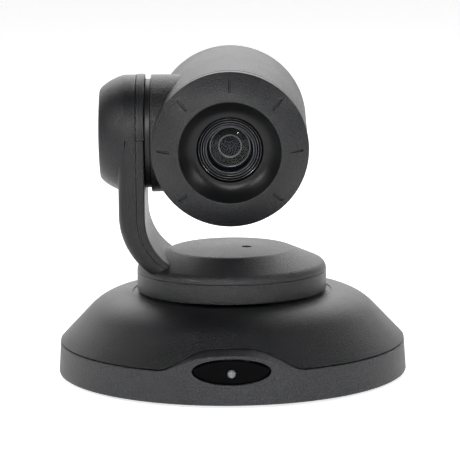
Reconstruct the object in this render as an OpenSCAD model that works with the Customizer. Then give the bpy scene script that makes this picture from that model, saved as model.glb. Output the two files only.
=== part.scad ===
/* [Base] */
// Diameter of the base at its foot
base_d = 202; // [180:1:250]
// Height of the base, from the surface it stands on to its flat top ring
base_h = 48.6; // [42:0.1:60]
// Height of the seam between rim and dome
rim_h = 20.2; // [17:0.1:25]
// Radius lost by the rim's wall between its foot and the seam
rim_taper = 1.06; // [0:0.01:2]
// Wall of the moulded base shells
base_wall = 2.6; // [2:0.1:3.2]
// Radius of the curve between the dome's slope and its flat top
dome_fillet = 32; // [8:0.5:34]
// Width between the turret and the corner that the dome's slope aims at
dome_shoulder = 18.75; // [12:0.25:22]
// Height of the rubber feet below the base plate
foot_h = 2; // [1.9:0.1:3]
// Thickness of the steel base plate
plate_t = 2; // [1.5:0.1:3]

/* [Brow and window] */
// Rise of the brow over the window, above the seam
brow_rise = 9.7; // [6:0.1:11]
// Half the width over which the brow rises and falls
brow_half_w = 42; // [36:0.5:50]
// Slope of the ledge on top of the brow, in degrees
brow_slope = 9.4; // [0:0.1:14]
// Half the width of the oval window
window_half_w = 22.2; // [14:0.1:26]
// Half the height of the oval window
window_half_h = 7.3; // [5:0.1:7.5]
// Height of the window's centre
window_z = 20.8; // [19:0.1:22]
// Diameter of the status lamp
lamp_d = 4.7; // [3:0.1:6]

/* [Turret] */
// Diameter of the turret
turret_d = 109.7; // [91:0.1:132]
// Gap between the base's top ring and the turret
turret_gap = 1.2; // [0.8:0.1:2]
// Height of the turret's upright band
band_h = 11.1; // [9:0.1:14]
// Height of the sloping cover above the band
cover_h = 12.5; // [9:0.1:15]
// Diameter of the flat disc on the cover
disc_d = 69.6; // [56:0.1:80]
// Height above the band at which the cover's slope would meet the wall
cover_edge_h = 3.4; // [2:0.1:4.5]
// Place of the cover's screw, to the right of and behind the pan axis
cover_screw = [8.8, 1.6]; // [0:0.1:12]
// Wall of the turret, arm and hub mouldings
turret_wall = 2.4; // [2:0.1:3]

/* [Head] */
// Diameter of the head's barrel
barrel_d = 88.4; // [84:0.2:106]
// Distance from the tilt axis forward to the barrel's front edge
barrel_front = 39.2; // [38:0.1:46]
// Distance from the tilt axis back to the barrel's rear edge
barrel_rear = 36.2; // [35:0.1:43]
// Depth of the domed rear cap behind the barrel
rear_cap_h = 7; // [5:0.1:9]
// Depth of the front bezel's straight side
bezel_side = 6.7; // [5:0.1:8]
// Distance from the bezel's widest edge forward to its lip
bezel_rise = 8.6; // [7:0.1:10]
// Diameter of the bezel's lip round the lens
lip_d = 59; // [54:0.5:62]
// Wall of the head mouldings
head_wall = 2.4; // [2:0.1:3]
// Nose-down angle at which the head is drawn, in degrees
rest_tilt = 4.5; // [0:0.1:10]
// Room between the swinging head and the turret's disc
swing_gap = 3.3; // [2:0.1:8]

/* [Lens] */
// Diameter of the opening in the lens surround
surround_d = 38.4; // [36:0.2:42]
// Outer diameter of the lens tube
lens_tube_d = 37; // [35:0.2:38]
// Diameter of the front glass
front_glass_d = 27; // [22:0.2:29]
// Diameter of the moving glass in the zoom and focus carriers
carrier_d = 24; // [18:0.2:26]

/* [Hub and arm] */
// Diameter of the tilt hub, and depth of the arm from front to back
hub_d = 67.6; // [60:0.2:76]
// Gap between the hub and the boss on the head
hub_gap = 3.4; // [2.4:0.1:5]
// Thickness of the arm's inner cover
inner_cover_t = 4.8; // [4:0.1:6]
// Thickness of the arm's outer shell
outer_shell_t = 10.4; // [9:0.1:13]
// Depth of the hub's domed cap
cap_h = 16; // [14:0.1:20]
// Radius that the hub's cap loses between its foot and its end face
cap_chamfer = 8.7; // [6:0.1:11]
// Radius of the arm's outer corners
arm_corner = 6.5; // [3:0.5:7]
// Angle through which the arm curves into the turret, in degrees
arm_sweep = 60; // [50:1:65]

/* [Drives] */
// Tooth size (module) of all gears
tooth = 0.8; // [0.7:0.05:0.9]
// Teeth on the pan gear
pan_teeth = 75; // [60:1:80]
// Teeth on the pan motor's pinion
pan_pinion_teeth = 15; // [12:1:18]
// Teeth on the tilt gear
tilt_teeth = 40; // [38:1:42]
// Teeth on the tilt motor's pinion
tilt_pinion_teeth = 12; // [12:1:13]
// Thickness of the gears
gear_t = 4; // [3:0.5:4]
// Sideways play left between meshing teeth
backlash = 0.14; // [0.1:0.01:0.2]
// Diameter of the pan motor
pan_motor_d = 35; // [28:0.5:36]
// Height of the pan motor
pan_motor_h = 15; // [12:0.5:16]
// Diameter of the tilt motor
tilt_motor_d = 16; // [15:0.5:18.5]
// Outer diameter of the hollow pan shaft
pan_shaft_d = 20; // [17:0.5:24]
// Outer diameter of the hollow tilt shaft
tilt_shaft_d = 13; // [11:0.5:13.5]
// Radial clearance between a turning shaft and its bush
running_gap = 0.05; // [0.03:0.01:0.1]

/* [Mounts and fits] */
// Bore of the quarter-inch tripod thread, at its tap size
tripod_bore_d = 5.1; // [5:0.05:5.2]
// Depth of the tripod thread
tripod_depth = 9; // [7:0.5:10]
// Clearance between mouldings that fit into each other
fit_gap = 0.15; // [0.1:0.05:0.3]
// Diameter of the screws
screw_d = 3; // [2.5:0.1:3]

/* [Hidden] */
$fn = 64;
tiny = 0.01;

base_r = base_d / 2;
turret_r = turret_d / 2;
disc_r = disc_d / 2;
hub_r = hub_d / 2;
barrel_r = barrel_d / 2;
lip_r = lip_d / 2;

// Levels in the base
plate_top = foot_h + plate_t;
plate_r = base_r - base_wall - fit_gap;
ledge_w = 5;
ledge_t = 2;
board_z = plate_top + 4;
board_t = 1.6;
screw_r = screw_d / 2;
screw_head_r = 2.8;
screw_head_h = 1.6;
pilot_depth = 6;

// The rim's wall is a cone that carries on up into the brow
function rim_r(z) = base_r - rim_taper * (z - foot_h) / (rim_h - foot_h);

// The dome's outline: a straight slope, an arc and a flat ring
shoulder_h = 0.5;
dome_corner_r = turret_r + dome_shoulder;
dome_slope = atan2(base_h - rim_h - shoulder_h, rim_r(rim_h) - dome_corner_r);
dome_ring_r = dome_corner_r - dome_fillet * tan(dome_slope / 2);
arc_steps = 8;
function dome_line_r(z, inset) =
    dome_ring_r + (dome_fillet - inset) * sin(dome_slope)
    + (base_h - dome_fillet + (dome_fillet - inset) * cos(dome_slope) - z) / tan(dome_slope);
function dome_outline(inset) = concat(
    [[dome_line_r(rim_h + (inset > 0 ? 0 : shoulder_h), inset), rim_h + (inset > 0 ? 0 : shoulder_h)]],
    [for (i = [0 : arc_steps])
        let (a = dome_slope * (1 - i / arc_steps))
        [dome_ring_r + (dome_fillet - inset) * sin(a),
         base_h - dome_fillet + (dome_fillet - inset) * cos(a)]]);

// The reveal round the turret and the opening under it
reveal_r = turret_r + 2.7;
reveal_depth = 0.6;
pan_flange_r = pan_shaft_d / 2 + 12;
opening_r = pan_flange_r + 12;

// The bay for the sockets at the back
bay_w = 76;
bay_wall = 2;
bay_top = plate_top + bay_wall + 16.5;
bay_y = 80 * base_r / 101;

// Pan drive
pan_shaft_r = pan_shaft_d / 2;
pan_bore_r = pan_shaft_r - 3;
bush_wall = 2;
pan_gear_z = base_h - 12.6;
bracket_t = 3;
bracket_top = pan_gear_z - 3;
pan_flange_t = 2.5;
pan_centre_distance = tooth * (pan_teeth + pan_pinion_teeth) / 2;
pan_housing_r = pan_shaft_r + bush_wall + 3;
shaft_foot_z = plate_top + tripod_depth + 3;
rotor_r = 1.5;

// Turret levels
turret_z = base_h + turret_gap;
floor_t = 2.5;
band_top = turret_z + band_h;
turret_top = band_top + cover_h;

// Head, measured forward from the tilt axis
bezel_r = barrel_r + 0.4;
bezel_edge = barrel_front + bezel_side;
lip_s = bezel_edge + bezel_rise;
swing_r = norm([bezel_r, bezel_edge]);
axis_h = turret_top + swing_r + swing_gap;
surround_r = surround_d / 2;
surround_s = lip_s - 8;
lens_tube_r = lens_tube_d / 2;
front_glass_r = front_glass_d / 2;
carrier_r = carrier_d / 2;

// Hub and arm, measured sideways from the middle, negative to the arm's side
boss_x = -(barrel_r + 1.2);
inner_x = boss_x - hub_gap;
seam_x = inner_x - inner_cover_t;
outer_x = seam_x - outer_shell_t;
cap_x = seam_x - 6.4;
cap_face_r = hub_r - cap_chamfer;
landing_x = sqrt(pow(turret_r, 2) - pow(hub_r, 2));
arm_arc = (-outer_x - landing_x) / (1 - cos(arm_sweep));
arm_cx = outer_x + arm_arc;
arm_cz = band_top + arm_arc * sin(arm_sweep);
seam_arc = arm_arc - 5.6;
inner_arc = arm_arc - 9.6;
frame_t = 2;
frame_out = 5.5;
frame_half_w = 22;
foot_z = arm_cz - arm_arc + frame_out;
post_x = arm_cx + 8;
post_y = 16;
post_r = 3.4;

// Tilt drive
tilt_shaft_r = tilt_shaft_d / 2;
tilt_bore_r = tilt_shaft_r - 2;
tilt_centre_distance = tooth * (tilt_teeth + tilt_pinion_teeth) / 2;
frame_x = outer_x + frame_out;
tilt_housing_r = tilt_shaft_r + bush_wall + 1.8;
housing_end_x = outer_x - 6;
tilt_gear_x = frame_x + frame_t + 1.5;
tilt_motor_r = tilt_motor_d / 2;
tilt_motor_h = 6.2;
bush_flange_t = 1;
bush_flange_r = tilt_housing_r - 0.5;
bush_len = 5;

// Places of posts, feet and screws, as angles round the base
post_ring_r = 84 * base_r / 101;
dome_post_angles = [25, 155, 245, 295];
foot_angles = [45, 135, 225, 315];
foot_ring_r = 82 * base_r / 101;
dome_post_r = 4.2;
chassis_screw_ring = 28;
chassis_r = 34;
chassis_angles = [30, 150, 210, 330];

/* Shapes used by several pieces */

module ring(r_out, r_in, h) {
    difference() {
        cylinder(r = r_out, h = h);
        translate([0, 0, -tiny]) cylinder(r = r_in, h = h + 2 * tiny);
    }
}

// A pan-head screw pointing up from its seat at z = 0
module screw_up(length, r = screw_r) {
    translate([0, 0, -screw_head_h * r / screw_r]) {
        cylinder(r = screw_head_r * r / screw_r, h = screw_head_h * r / screw_r);
        cylinder(r = r, h = length + screw_head_h * r / screw_r);
    }
}

module around(r, angles) {
    for (a = angles) rotate([0, 0, a]) translate([r, 0, 0]) children();
}

// Turns +Z to face forward, along -Y
module forward() {
    rotate([90, 0, 0]) children();
}

// Turns +Z to face sideways, along +X
module sideways() {
    rotate([0, 90, 0]) children();
}

module at_tilt_axis() {
    translate([0, 0, axis_h]) children();
}

module in_head() {
    at_tilt_axis() rotate([rest_tilt, 0, 0]) children();
}

// Involute teeth, with a shortened tip so that the small pinions run free
pressure = 20;
function inv(a) = tan(a) - a * PI / 180;
function flank(r, n) =
    let (rp = tooth * n / 2, rb = rp * cos(pressure), a = r > rb ? acos(rb / r) : 0)
    90 / n + (inv(pressure) - inv(a)) * 180 / PI - backlash / 4 / rp * 180 / PI;
function tooth_outline(n) =
    let (rp = tooth * n / 2, rf = rp - tooth, ra = rp + 0.75 * tooth,
         rs = [rf, max(rf + tiny, rp * cos(pressure)), rp, ra])
    [for (k = [0 : n - 1]) each concat(
        [for (i = [0 : 3]) let (a = 360 * k / n - flank(rs[i], n)) rs[i] * [cos(a), sin(a)]],
        [for (i = [3 : -1 : 0]) let (a = 360 * k / n + flank(rs[i], n)) rs[i] * [cos(a), sin(a)]])];

module gear(n, h, bore_r) {
    difference() {
        linear_extrude(h) polygon(tooth_outline(n));
        translate([0, 0, -tiny]) cylinder(r = bore_r, h = h + 2 * tiny);
    }
}

/* Base */

module base_envelope(inset) {
    rotate_extrude($fn = 96)
        polygon(concat([[0, 0], [base_r - inset, 0], [rim_r(rim_h) - inset, rim_h]],
            dome_outline(inset), [[0, base_h - inset]]));
}

// The space under the brow's ledge, lowered by drop
function brow_top(x) =
    rim_h + brow_rise * pow(cos(90 * pow(abs(x) / brow_half_w, 1.6)), 2)
    - (rim_r(rim_h) - sqrt(pow(rim_r(rim_h), 2) - x * x)) * tan(brow_slope);
brow_steps = 28;
brow_lip_z = rim_h + brow_rise;
brow_lip_y = -rim_r(brow_lip_z);
brow_depth = 16;
brow_end = 0.93 * brow_half_w;
module under_brow(drop) {
    intersection() {
        translate([0, brow_lip_y, brow_lip_z])
            rotate([90 + brow_slope, 0, 0])
            translate([0, -brow_lip_z, -30])
            linear_extrude(60)
            polygon(concat(
                [for (i = [0 : brow_steps])
                    let (x = brow_end * (2 * i / brow_steps - 1))
                    [x, brow_top(x) - drop]],
                [[brow_end, rim_h - 12], [-brow_end, rim_h - 12]]));
        translate([-brow_end, brow_lip_y - 4, rim_h - 8])
            cube([2 * brow_end, brow_depth + 4, 30]);
    }
}

// The ring that the brow is cut from: rim wall outside, dome wall inside
module brow_ring(outer_inset, inner_inset) {
    top = brow_lip_z + 4;
    foot = rim_h - 4;
    rotate_extrude($fn = 96) polygon([
        [rim_r(foot) - outer_inset, foot],
        [rim_r(top) - outer_inset, top],
        [dome_line_r(top, inner_inset), top],
        [dome_line_r(rim_h, inner_inset), rim_h],
        [dome_line_r(rim_h, inner_inset), foot]]);
}

module oval_prism(grow, y0, y1) {
    steps = 48;
    translate([0, y1, window_z]) rotate([90, 0, 0]) linear_extrude(y1 - y0)
        polygon([for (i = [0 : steps - 1])
            [(window_half_w + grow) * cos(360 * i / steps),
             (window_half_h + grow) * sin(360 * i / steps)]]);
}

module bay_box(grow) {
    translate([-bay_w / 2 - bay_wall - grow, bay_y - bay_wall, plate_top])
        cube([bay_w + 2 * bay_wall + 2 * grow, base_r, bay_top + bay_wall + grow - plate_top]);
}

module base_plate() {
    color("#8b8e92") difference() {
        translate([0, 0, foot_h]) cylinder(r = plate_r, h = plate_t);
        translate([0, 0, -1]) cylinder(r = tripod_bore_d / 2 + 2.5, h = plate_top + 2);
        around(post_ring_r, dome_post_angles) translate([0, 0, -1]) cylinder(r = screw_r + fit_gap,
            h = plate_top + 2);
        around(chassis_screw_ring, chassis_angles) translate([0, 0, -1])
            cylinder(r = screw_r + fit_gap, h = plate_top + 2);
    }
}

module rubber_feet() {
    color("#1b1b1b") around(foot_ring_r, foot_angles) {
        cylinder(r1 = 6.2, r2 = 7, h = 1);
        translate([0, 0, 1]) cylinder(r = 7, h = foot_h - 1);
    }
}

module tripod_insert() {
    bore_r = tripod_bore_d / 2;
    color("#b08d4c") difference() {
        union() {
            translate([0, 0, foot_h]) cylinder(r = bore_r + 2.5, h = tripod_depth + 1.5);
            translate([0, 0, plate_top]) cylinder(r = bore_r + 5.5, h = 1.5);
        }
        translate([0, 0, foot_h - tiny]) cylinder(r = bore_r, h = tripod_depth + tiny);
    }
}

module base_rim() {
    color("#3a3b3d") difference() {
        union() {
            rotate_extrude($fn = 96) polygon([
                [base_r - 0.9, foot_h],
                [base_r, foot_h + 0.9],
                [rim_r(rim_h), rim_h],
                [rim_r(rim_h) - base_wall, rim_h],
                [base_r - base_wall, plate_top + ledge_t],
                [plate_r - ledge_w, plate_top + ledge_t],
                [plate_r - ledge_w, plate_top],
                [plate_r + fit_gap, plate_top],
                [plate_r + fit_gap, foot_h]]);
            intersection() {
                under_brow(0);
                brow_ring(0, base_wall);
            }
        }
        intersection() {
            under_brow(base_wall);
            brow_ring(base_wall, base_wall + 3);
        }
        oval_prism(0, -base_r - 2, -base_r + 2 * base_wall + 2);
        bay_box(fit_gap);
    }
}

module dome_posts() {
    intersection() {
        around(post_ring_r, dome_post_angles)
            translate([0, 0, plate_top]) cylinder(r = dome_post_r, h = base_h);
        base_envelope(base_wall / 2);
    }
}

module base_dome() {
    lip_out = rim_r(rim_h) - base_wall - fit_gap;
    color("#2a2b2d") difference() {
        union() {
            rotate_extrude($fn = 96) polygon(concat(
                [[rim_r(rim_h), rim_h]],
                dome_outline(0),
                [[reveal_r, base_h],
                 [reveal_r, base_h - reveal_depth],
                 [opening_r, base_h - reveal_depth],
                 [opening_r, base_h - base_wall - reveal_depth],
                 [dome_ring_r, base_h - base_wall - reveal_depth]],
                [for (p = [len(dome_outline(base_wall)) - 2 : -1 : 0]) dome_outline(base_wall)[p]]));
            translate([0, 0, rim_h - 3]) ring(lip_out, lip_out - 2.4, 4);
            dome_posts();
        }
        under_brow(0);
        bay_box(fit_gap);
        around(post_ring_r, dome_post_angles)
            translate([0, 0, plate_top - tiny]) cylinder(r = screw_r, h = pilot_depth);
    }
}

// Sockets: [name, middle in x, width, height, opening width, opening height]
dc_x = -26;
usb_x = -2;
network_x = 24;
socket_depth = 15;
socket_front = bay_y + 0.8;
socket_z = board_z + board_t;
dc_w = 9;
dc_h = 11;
usb_w = 12;
usb_h = 11;
network_w = 16;
network_h = 12.5;

module socket_block(x, w, h, grow = 0) {
    translate([x - w / 2 - grow, socket_front - socket_depth, socket_z - grow])
        cube([w + 2 * grow, socket_depth, h + 2 * grow]);
}

module rear_bay() {
    color("#303133") difference() {
        intersection() {
            difference() {
                bay_box(0);
                translate([-bay_w / 2, bay_y, plate_top + bay_wall])
                    cube([bay_w, base_r, bay_top - plate_top - bay_wall]);
            }
            base_envelope(0);
        }
        socket_block(dc_x, dc_w, dc_h, fit_gap);
        socket_block(usb_x, usb_w, usb_h, fit_gap);
        socket_block(network_x, network_w, network_h, fit_gap);
    }
}

module dc_power_jack() {
    hole_r = 3.1;
    mid_z = socket_z + dc_h / 2;
    color("#161616") {
        difference() {
            socket_block(dc_x, dc_w, dc_h);
            translate([dc_x, socket_front + tiny, mid_z]) rotate([90, 0, 0]) cylinder(r = hole_r, h = 9.5);
        }
        translate([dc_x, socket_front - 1, mid_z]) rotate([90, 0, 0]) cylinder(r = 1, h = 9);
    }
}

module usb_port() {
    color("#c9ccd0") {
        difference() {
            socket_block(usb_x, usb_w, usb_h);
            translate([usb_x - 4.4, socket_front - 11, socket_z + 1.3]) cube([8.8, 12, 8.4]);
        }
        translate([usb_x - 2.8, socket_front - 11.5, socket_z + 1.3]) cube([5.6, 10, 3]);
    }
}

module network_port() {
    color("#c4c7cb") {
        difference() {
            socket_block(network_x, network_w, network_h);
            translate([network_x - 6, socket_front - 13, socket_z + 2]) cube([12, 14, 7]);
            translate([network_x - 3.2, socket_front - 13, socket_z + 8]) cube([6.4, 14, 3]);
        }
    }
}

board_w = 104;
board_y0 = 22;
board_y1 = bay_y - bay_wall - 1;
board_holes = [for (x = [-1, 1], y = [board_y0 + 4, board_y1 - 8]) [x * (board_w / 2 - 4), y]];

module main_board() {
    color("#1f5a3a") difference() {
        translate([-board_w / 2, board_y0, board_z]) cube([board_w, board_y1 - board_y0, board_t]);
        for (p = board_holes) translate([p[0], p[1], board_z - 1]) cylinder(r = screw_r + fit_gap,
            h = board_t + 2);
    }
}

module board_standoffs() {
    color("#b08d4c") for (p = board_holes) translate([p[0], p[1], plate_top]) difference() {
        cylinder(r = 2.9, h = board_z - plate_top);
        translate([0, 0, 1]) cylinder(r = screw_r, h = board_z - plate_top);
    }
}

module board_screws() {
    color("#9a9da1") for (p = board_holes) translate([p[0], p[1], board_z + board_t])
        mirror([0, 0, 1]) screw_up(board_t + 2.6);
}

module processor_heatsink() {
    side = 24;
    fins = 7;
    color("#55585c") translate([-side / 2 - 8, board_y0 + 8, board_z + board_t]) {
        cube([side, side, 3]);
        for (i = [0 : fins - 1]) translate([i * (side - 1.6) / (fins - 1), 0, 3 - tiny]) cube([1.6,
            side, 5]);
    }
}

window_t = 1.8;
window_face_r = rim_r(window_z) - 1.2;
module infrared_window() {
    color("#101012") difference() {
        intersection() {
            oval_prism(-fit_gap, -base_r - 2, -base_r + 20);
            translate([0, 0, rim_h - 12]) ring(window_face_r, window_face_r - window_t, 24);
        }
        translate([0, -window_face_r + 4, window_z - 1.2]) forward() cylinder(r = lamp_d / 2, h = 8);
    }
}

receiver_y = -window_face_r + 9;
module status_lamp() {
    lamp_r = lamp_d / 2;
    color("#e8e8ec") translate([0, 0, window_z - 1.2]) {
        translate([0, receiver_y, 0]) forward() cylinder(r = lamp_r, h = -receiver_y - window_face_r);
        translate([0, receiver_y, 0]) forward() cylinder(r = lamp_r + 0.5, h = 1.2);
        translate([0, -window_face_r, 0]) sphere(r = lamp_r);
    }
}

module receiver_board() {
    color("#1f5a3a") translate([-18, receiver_y, plate_top]) cube([36, board_t, 19]);
    color("#1a1a1a") for (x = [-12, 12])
        translate([x - 3, receiver_y - 4, window_z - 3.5]) cube([6, 4 + tiny, 7]);
}

/* Pan drive */

module motor_lugs(spread, h) {
    for (s = [-1, 1]) translate([s * spread, 0, 0]) cylinder(r = 3.5, h = h);
}

pan_lug_spread = pan_motor_d / 2 + 3.2;

module at_pan_motor() {
    translate([0, -pan_centre_distance, 0]) children();
}

module pan_chassis() {
    neck_r = pan_shaft_r + bush_wall;
    color("#7d8085") difference() {
        union() {
            translate([0, 0, plate_top]) cylinder(r = chassis_r, h = 3);
            translate([0, 0, plate_top]) cylinder(r = pan_housing_r, h = bracket_top - plate_top);
            around(chassis_screw_ring, chassis_angles) translate([0, 0, plate_top]) cylinder(r = 4, h = 6);
            translate([0, 0, bracket_top - bracket_t]) {
                translate([-pan_housing_r, -pan_centre_distance, 0])
                    cube([2 * pan_housing_r, pan_centre_distance, bracket_t]);
                at_pan_motor() cylinder(r = pan_motor_d / 2 + 0.5, h = bracket_t);
                at_pan_motor() motor_lugs(pan_lug_spread, bracket_t);
            }
        }
        translate([0, 0, plate_top - 1]) cylinder(r = neck_r, h = base_h);
        at_pan_motor() translate([0, 0, bracket_top - bracket_t - 1]) cylinder(r = 5.5, h = bracket_t + 2);
        at_pan_motor() for (s = [-1, 1]) translate([s * pan_lug_spread, 0, bracket_top - bracket_t - 1])
            cylinder(r = screw_r, h = bracket_t + 2);
        around(chassis_screw_ring, chassis_angles) translate([0, 0, plate_top - 1])
            cylinder(r = screw_r, h = 6);
    }
}

module pan_bush() {
    color("#c8a765") difference() {
        union() {
            translate([0, 0, shaft_foot_z + 2]) cylinder(r = pan_shaft_r + bush_wall,
                h = bracket_top - shaft_foot_z - 2);
            translate([0, 0, bracket_top]) cylinder(r = pan_housing_r, h = 1.2);
        }
        translate([0, 0, shaft_foot_z]) cylinder(r = pan_shaft_r + running_gap, h = base_h);
    }
}

module pan_motor() {
    motor_top = bracket_top - bracket_t;
    color("#9ea1a6") difference() {
        union() {
            at_pan_motor() translate([0, 0, motor_top - pan_motor_h]) cylinder(r = pan_motor_d / 2,
                h = pan_motor_h);
            at_pan_motor() translate([0, 0, motor_top - 1.2]) motor_lugs(pan_lug_spread, 1.2);
            at_pan_motor() translate([0, 0, motor_top - 1]) cylinder(r = 5, h = 2.5);
        }
        at_pan_motor() translate([0, 0, motor_top - pan_motor_h + 3])
            cylinder(r = rotor_r + running_gap, h = pan_motor_h);
        at_pan_motor() for (s = [-1, 1]) translate([s * pan_lug_spread, 0, motor_top - 3])
            cylinder(r = screw_r + fit_gap, h = 4);
    }
}

module pan_motor_screws() {
    color("#9a9da1") at_pan_motor() for (s = [-1, 1])
        translate([s * pan_lug_spread, 0, bracket_top - bracket_t - 1.2]) screw_up(4);
}

module pan_rotor_shaft() {
    color("#c9ccd0") at_pan_motor() translate([0, 0, bracket_top - bracket_t - pan_motor_h + 3.2])
        cylinder(r = rotor_r, h = pan_gear_z + gear_t + 1.5 - (bracket_top - bracket_t - pan_motor_h +
            3.2));
}

module pan_pinion() {
    hub_h = 1.2;
    color("#d9d4c4") at_pan_motor() difference() {
        union() {
            translate([0, 0, pan_gear_z]) rotate([0, 0, 90 + 180 / pan_pinion_teeth])
                linear_extrude(gear_t) polygon(tooth_outline(pan_pinion_teeth));
            translate([0, 0, pan_gear_z - hub_h]) cylinder(r = 4, h = hub_h);
        }
        translate([0, 0, pan_gear_z - hub_h - 1]) cylinder(r = rotor_r, h = gear_t + hub_h + 2);
    }
}

module pan_shaft() {
    color("#b9bcc1") difference() {
        union() {
            translate([0, 0, shaft_foot_z]) cylinder(r = pan_shaft_r, h = turret_z - shaft_foot_z);
            translate([0, 0, turret_z - pan_flange_t]) cylinder(r = pan_flange_r, h = pan_flange_t);
        }
        translate([0, 0, shaft_foot_z - 1]) cylinder(r = pan_bore_r, h = base_h);
        around(pan_flange_r - 4.5, [45, 135, 225, 315]) translate([0, 0, turret_z - pan_flange_t - 1])
            cylinder(r = screw_r + fit_gap, h = pan_flange_t + 2);
    }
}

module pan_thrust_washer() {
    washer_z = bracket_top + 1.2;
    color("#e6dcc2") translate([0, 0, washer_z])
        ring(pan_housing_r - 1, pan_shaft_r + fit_gap, pan_gear_z - washer_z - 0.2);
}

module pan_gear() {
    color("#d9d4c4") {
        translate([0, 0, pan_gear_z]) rotate([0, 0, -90]) gear(pan_teeth, gear_t, pan_shaft_r);
        translate([0, 0, pan_gear_z + gear_t - 1]) ring(pan_shaft_r + 4, pan_shaft_r, 2.6);
    }
}

module pan_retaining_ring() {
    color("#8b8e92") translate([0, 0, shaft_foot_z + 0.6])
        ring(pan_shaft_r + bush_wall - 0.6, pan_shaft_r, 1);
}

/* Turret */

cover_slope = atan2(cover_h - cover_edge_h, turret_r - disc_r);
cover_fillet = cover_edge_h / tan((90 - cover_slope) / 2);
function cover_outline(inset) = concat(
    [for (i = [0 : arc_steps])
        let (a = (90 - cover_slope) * i / arc_steps)
        [turret_r - cover_fillet + (cover_fillet - inset) * cos(a),
         band_top + (cover_fillet - inset) * sin(a)]],
    [[turret_r - cover_fillet + (cover_fillet - inset) * sin(cover_slope)
        - (cover_h - inset - (cover_fillet - inset) * cos(cover_slope)) / tan(cover_slope),
      turret_top - inset]]);

module cable_hole(z, h) {
    translate([0, 0, z]) cylinder(r = pan_bore_r, h = h);
}

module turret_skirt() {
    color("#2b2c2e") difference() {
        union() {
            translate([0, 0, turret_z]) difference() {
                cylinder(r = turret_r, h = band_h, $fn = 96);
                translate([0, 0, floor_t]) cylinder(r = turret_r - turret_wall, h = band_h, $fn = 96);
            }
            for (s = [-1, 1]) translate([post_x, s * post_y, turret_z]) cylinder(r = post_r,
                h = foot_z - turret_z);
            around(pan_flange_r - 4.5, [45, 135, 225, 315]) translate([0, 0, turret_z]) cylinder(r = 3,
                h = floor_t + 2.5);
        }
        cable_hole(turret_z - 1, floor_t + 2);
        for (s = [-1, 1]) translate([post_x, s * post_y, foot_z - pilot_depth]) cylinder(r = screw_r,
            h = pilot_depth + 1);
        around(pan_flange_r - 4.5, [45, 135, 225, 315]) translate([0, 0, turret_z - 1])
            cylinder(r = screw_r, h = 5);
        arm_band(-fit_gap);
    }
}

module turret_cover() {
    color("#2b2c2e") difference() {
        union() {
            rotate_extrude($fn = 96) polygon(concat(
                cover_outline(0), [[0, turret_top], [0, turret_top - turret_wall]],
                [for (i = [arc_steps + 1 : -1 : 0]) cover_outline(turret_wall)[i]]));
            translate([cover_screw[0], cover_screw[1], turret_top - 8]) cylinder(r = 4.4,
                h = 8 - turret_wall / 2);
        }
        translate([cover_screw[0], cover_screw[1], turret_top - 9]) cylinder(r = screw_r, h = 10);
        translate([cover_screw[0], cover_screw[1], turret_top - 2.2]) cylinder(r = 2.9, h = 3);
        arm_band(-fit_gap);
    }
}

module turret_cover_screw() {
    color("#17181a") translate([cover_screw[0], cover_screw[1], turret_top - 2.2]) difference() {
        union() {
            cylinder(r = 2.75, h = screw_head_h);
            translate([0, 0, -5]) cylinder(r = screw_r, h = 5 + tiny);
        }
        translate([0, 0, 0.7]) cylinder(r = 1.2, h = 2, $fn = 6);
    }
}

module turret_screws() {
    color("#9a9da1") around(pan_flange_r - 4.5, [45, 135, 225, 315])
        translate([0, 0, turret_z - pan_flange_t]) screw_up(pan_flange_t + 3.5);
}

module driver_board() {
    board_x = post_x + 12;
    length = turret_r - 18 - board_x;
    color("#1f5a3a") difference() {
        translate([board_x, -22, turret_z + floor_t + 3]) cube([length, 44, board_t]);
        cable_hole(turret_z, 20);
    }
    color("#b08d4c") for (y = [-18, 18])
        translate([board_x + length - 5, y, turret_z + floor_t]) cylinder(r = 2.5, h = 3);
    color("#1a1a1a") for (y = [-12, 8])
        translate([board_x + length - 18, y, turret_z + floor_t + 3 + board_t])
        cube([9, 6, 2]);
}

/* Arm and hub */

module band_section(inset) {
    half = hub_r - inset;
    r = max(arm_corner - inset, 1);
    edge = arm_arc - inset;
    steps = 6;
    polygon(concat(
        [[arm_arc - 24, -half]],
        [for (i = [0 : steps]) let (a = -90 + 90 * i / steps) [edge - r + r * cos(a),
            -half + r + r * sin(a)]],
        [for (i = [0 : steps]) let (a = 90 * i / steps) [edge - r + r * cos(a), half - r + r * sin(a)]],
        [[arm_arc - 24, half]]));
}

// The band of the arm: upright from the tilt axis, then curving into the turret
module arm_band(inset) {
    translate([arm_cx, 0, arm_cz]) {
        mirror([1, 0, 0]) linear_extrude(axis_h - arm_cz) band_section(inset);
        rotate([90, 0, 0]) rotate([0, 0, 180]) rotate_extrude(angle = arm_sweep + 4, $fn = 96)
            band_section(inset);
    }
}

// Everything on the head's side of a surface that runs down the arm at x
module head_side(x, arc, drop) {
    reach = 2 * axis_h;
    translate([x, -reach / 2, arm_cz - drop]) cube([reach, reach, reach]);
    translate([x + arc, 0, arm_cz - drop]) rotate([90, 0, 0]) cylinder(r = arc, h = reach,
        center = true, $fn = 96);
}

module seam_side() {
    head_side(seam_x, seam_arc, 0.6);
}

module inner_side(inset) {
    head_side(inner_x - inset, inner_arc + inset, 1.9);
}

module hub_cylinder(x0, x1, r) {
    at_tilt_axis() translate([x0, 0, 0]) sideways() cylinder(r = r, h = x1 - x0);
}

inner_wall = 2;

module arm_hollow() {
    arm_band(turret_wall);
    hub_cylinder(cap_x - 10, inner_x, hub_r - turret_wall);
}

module arm_outer_shell() {
    color("#252628") difference() {
        union() {
            arm_band(0);
            hub_cylinder(cap_x, seam_x, hub_r);
        }
        seam_side();
        hub_cylinder(outer_x - 10, cap_x, hub_r);
        arm_hollow();
    }
}

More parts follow.
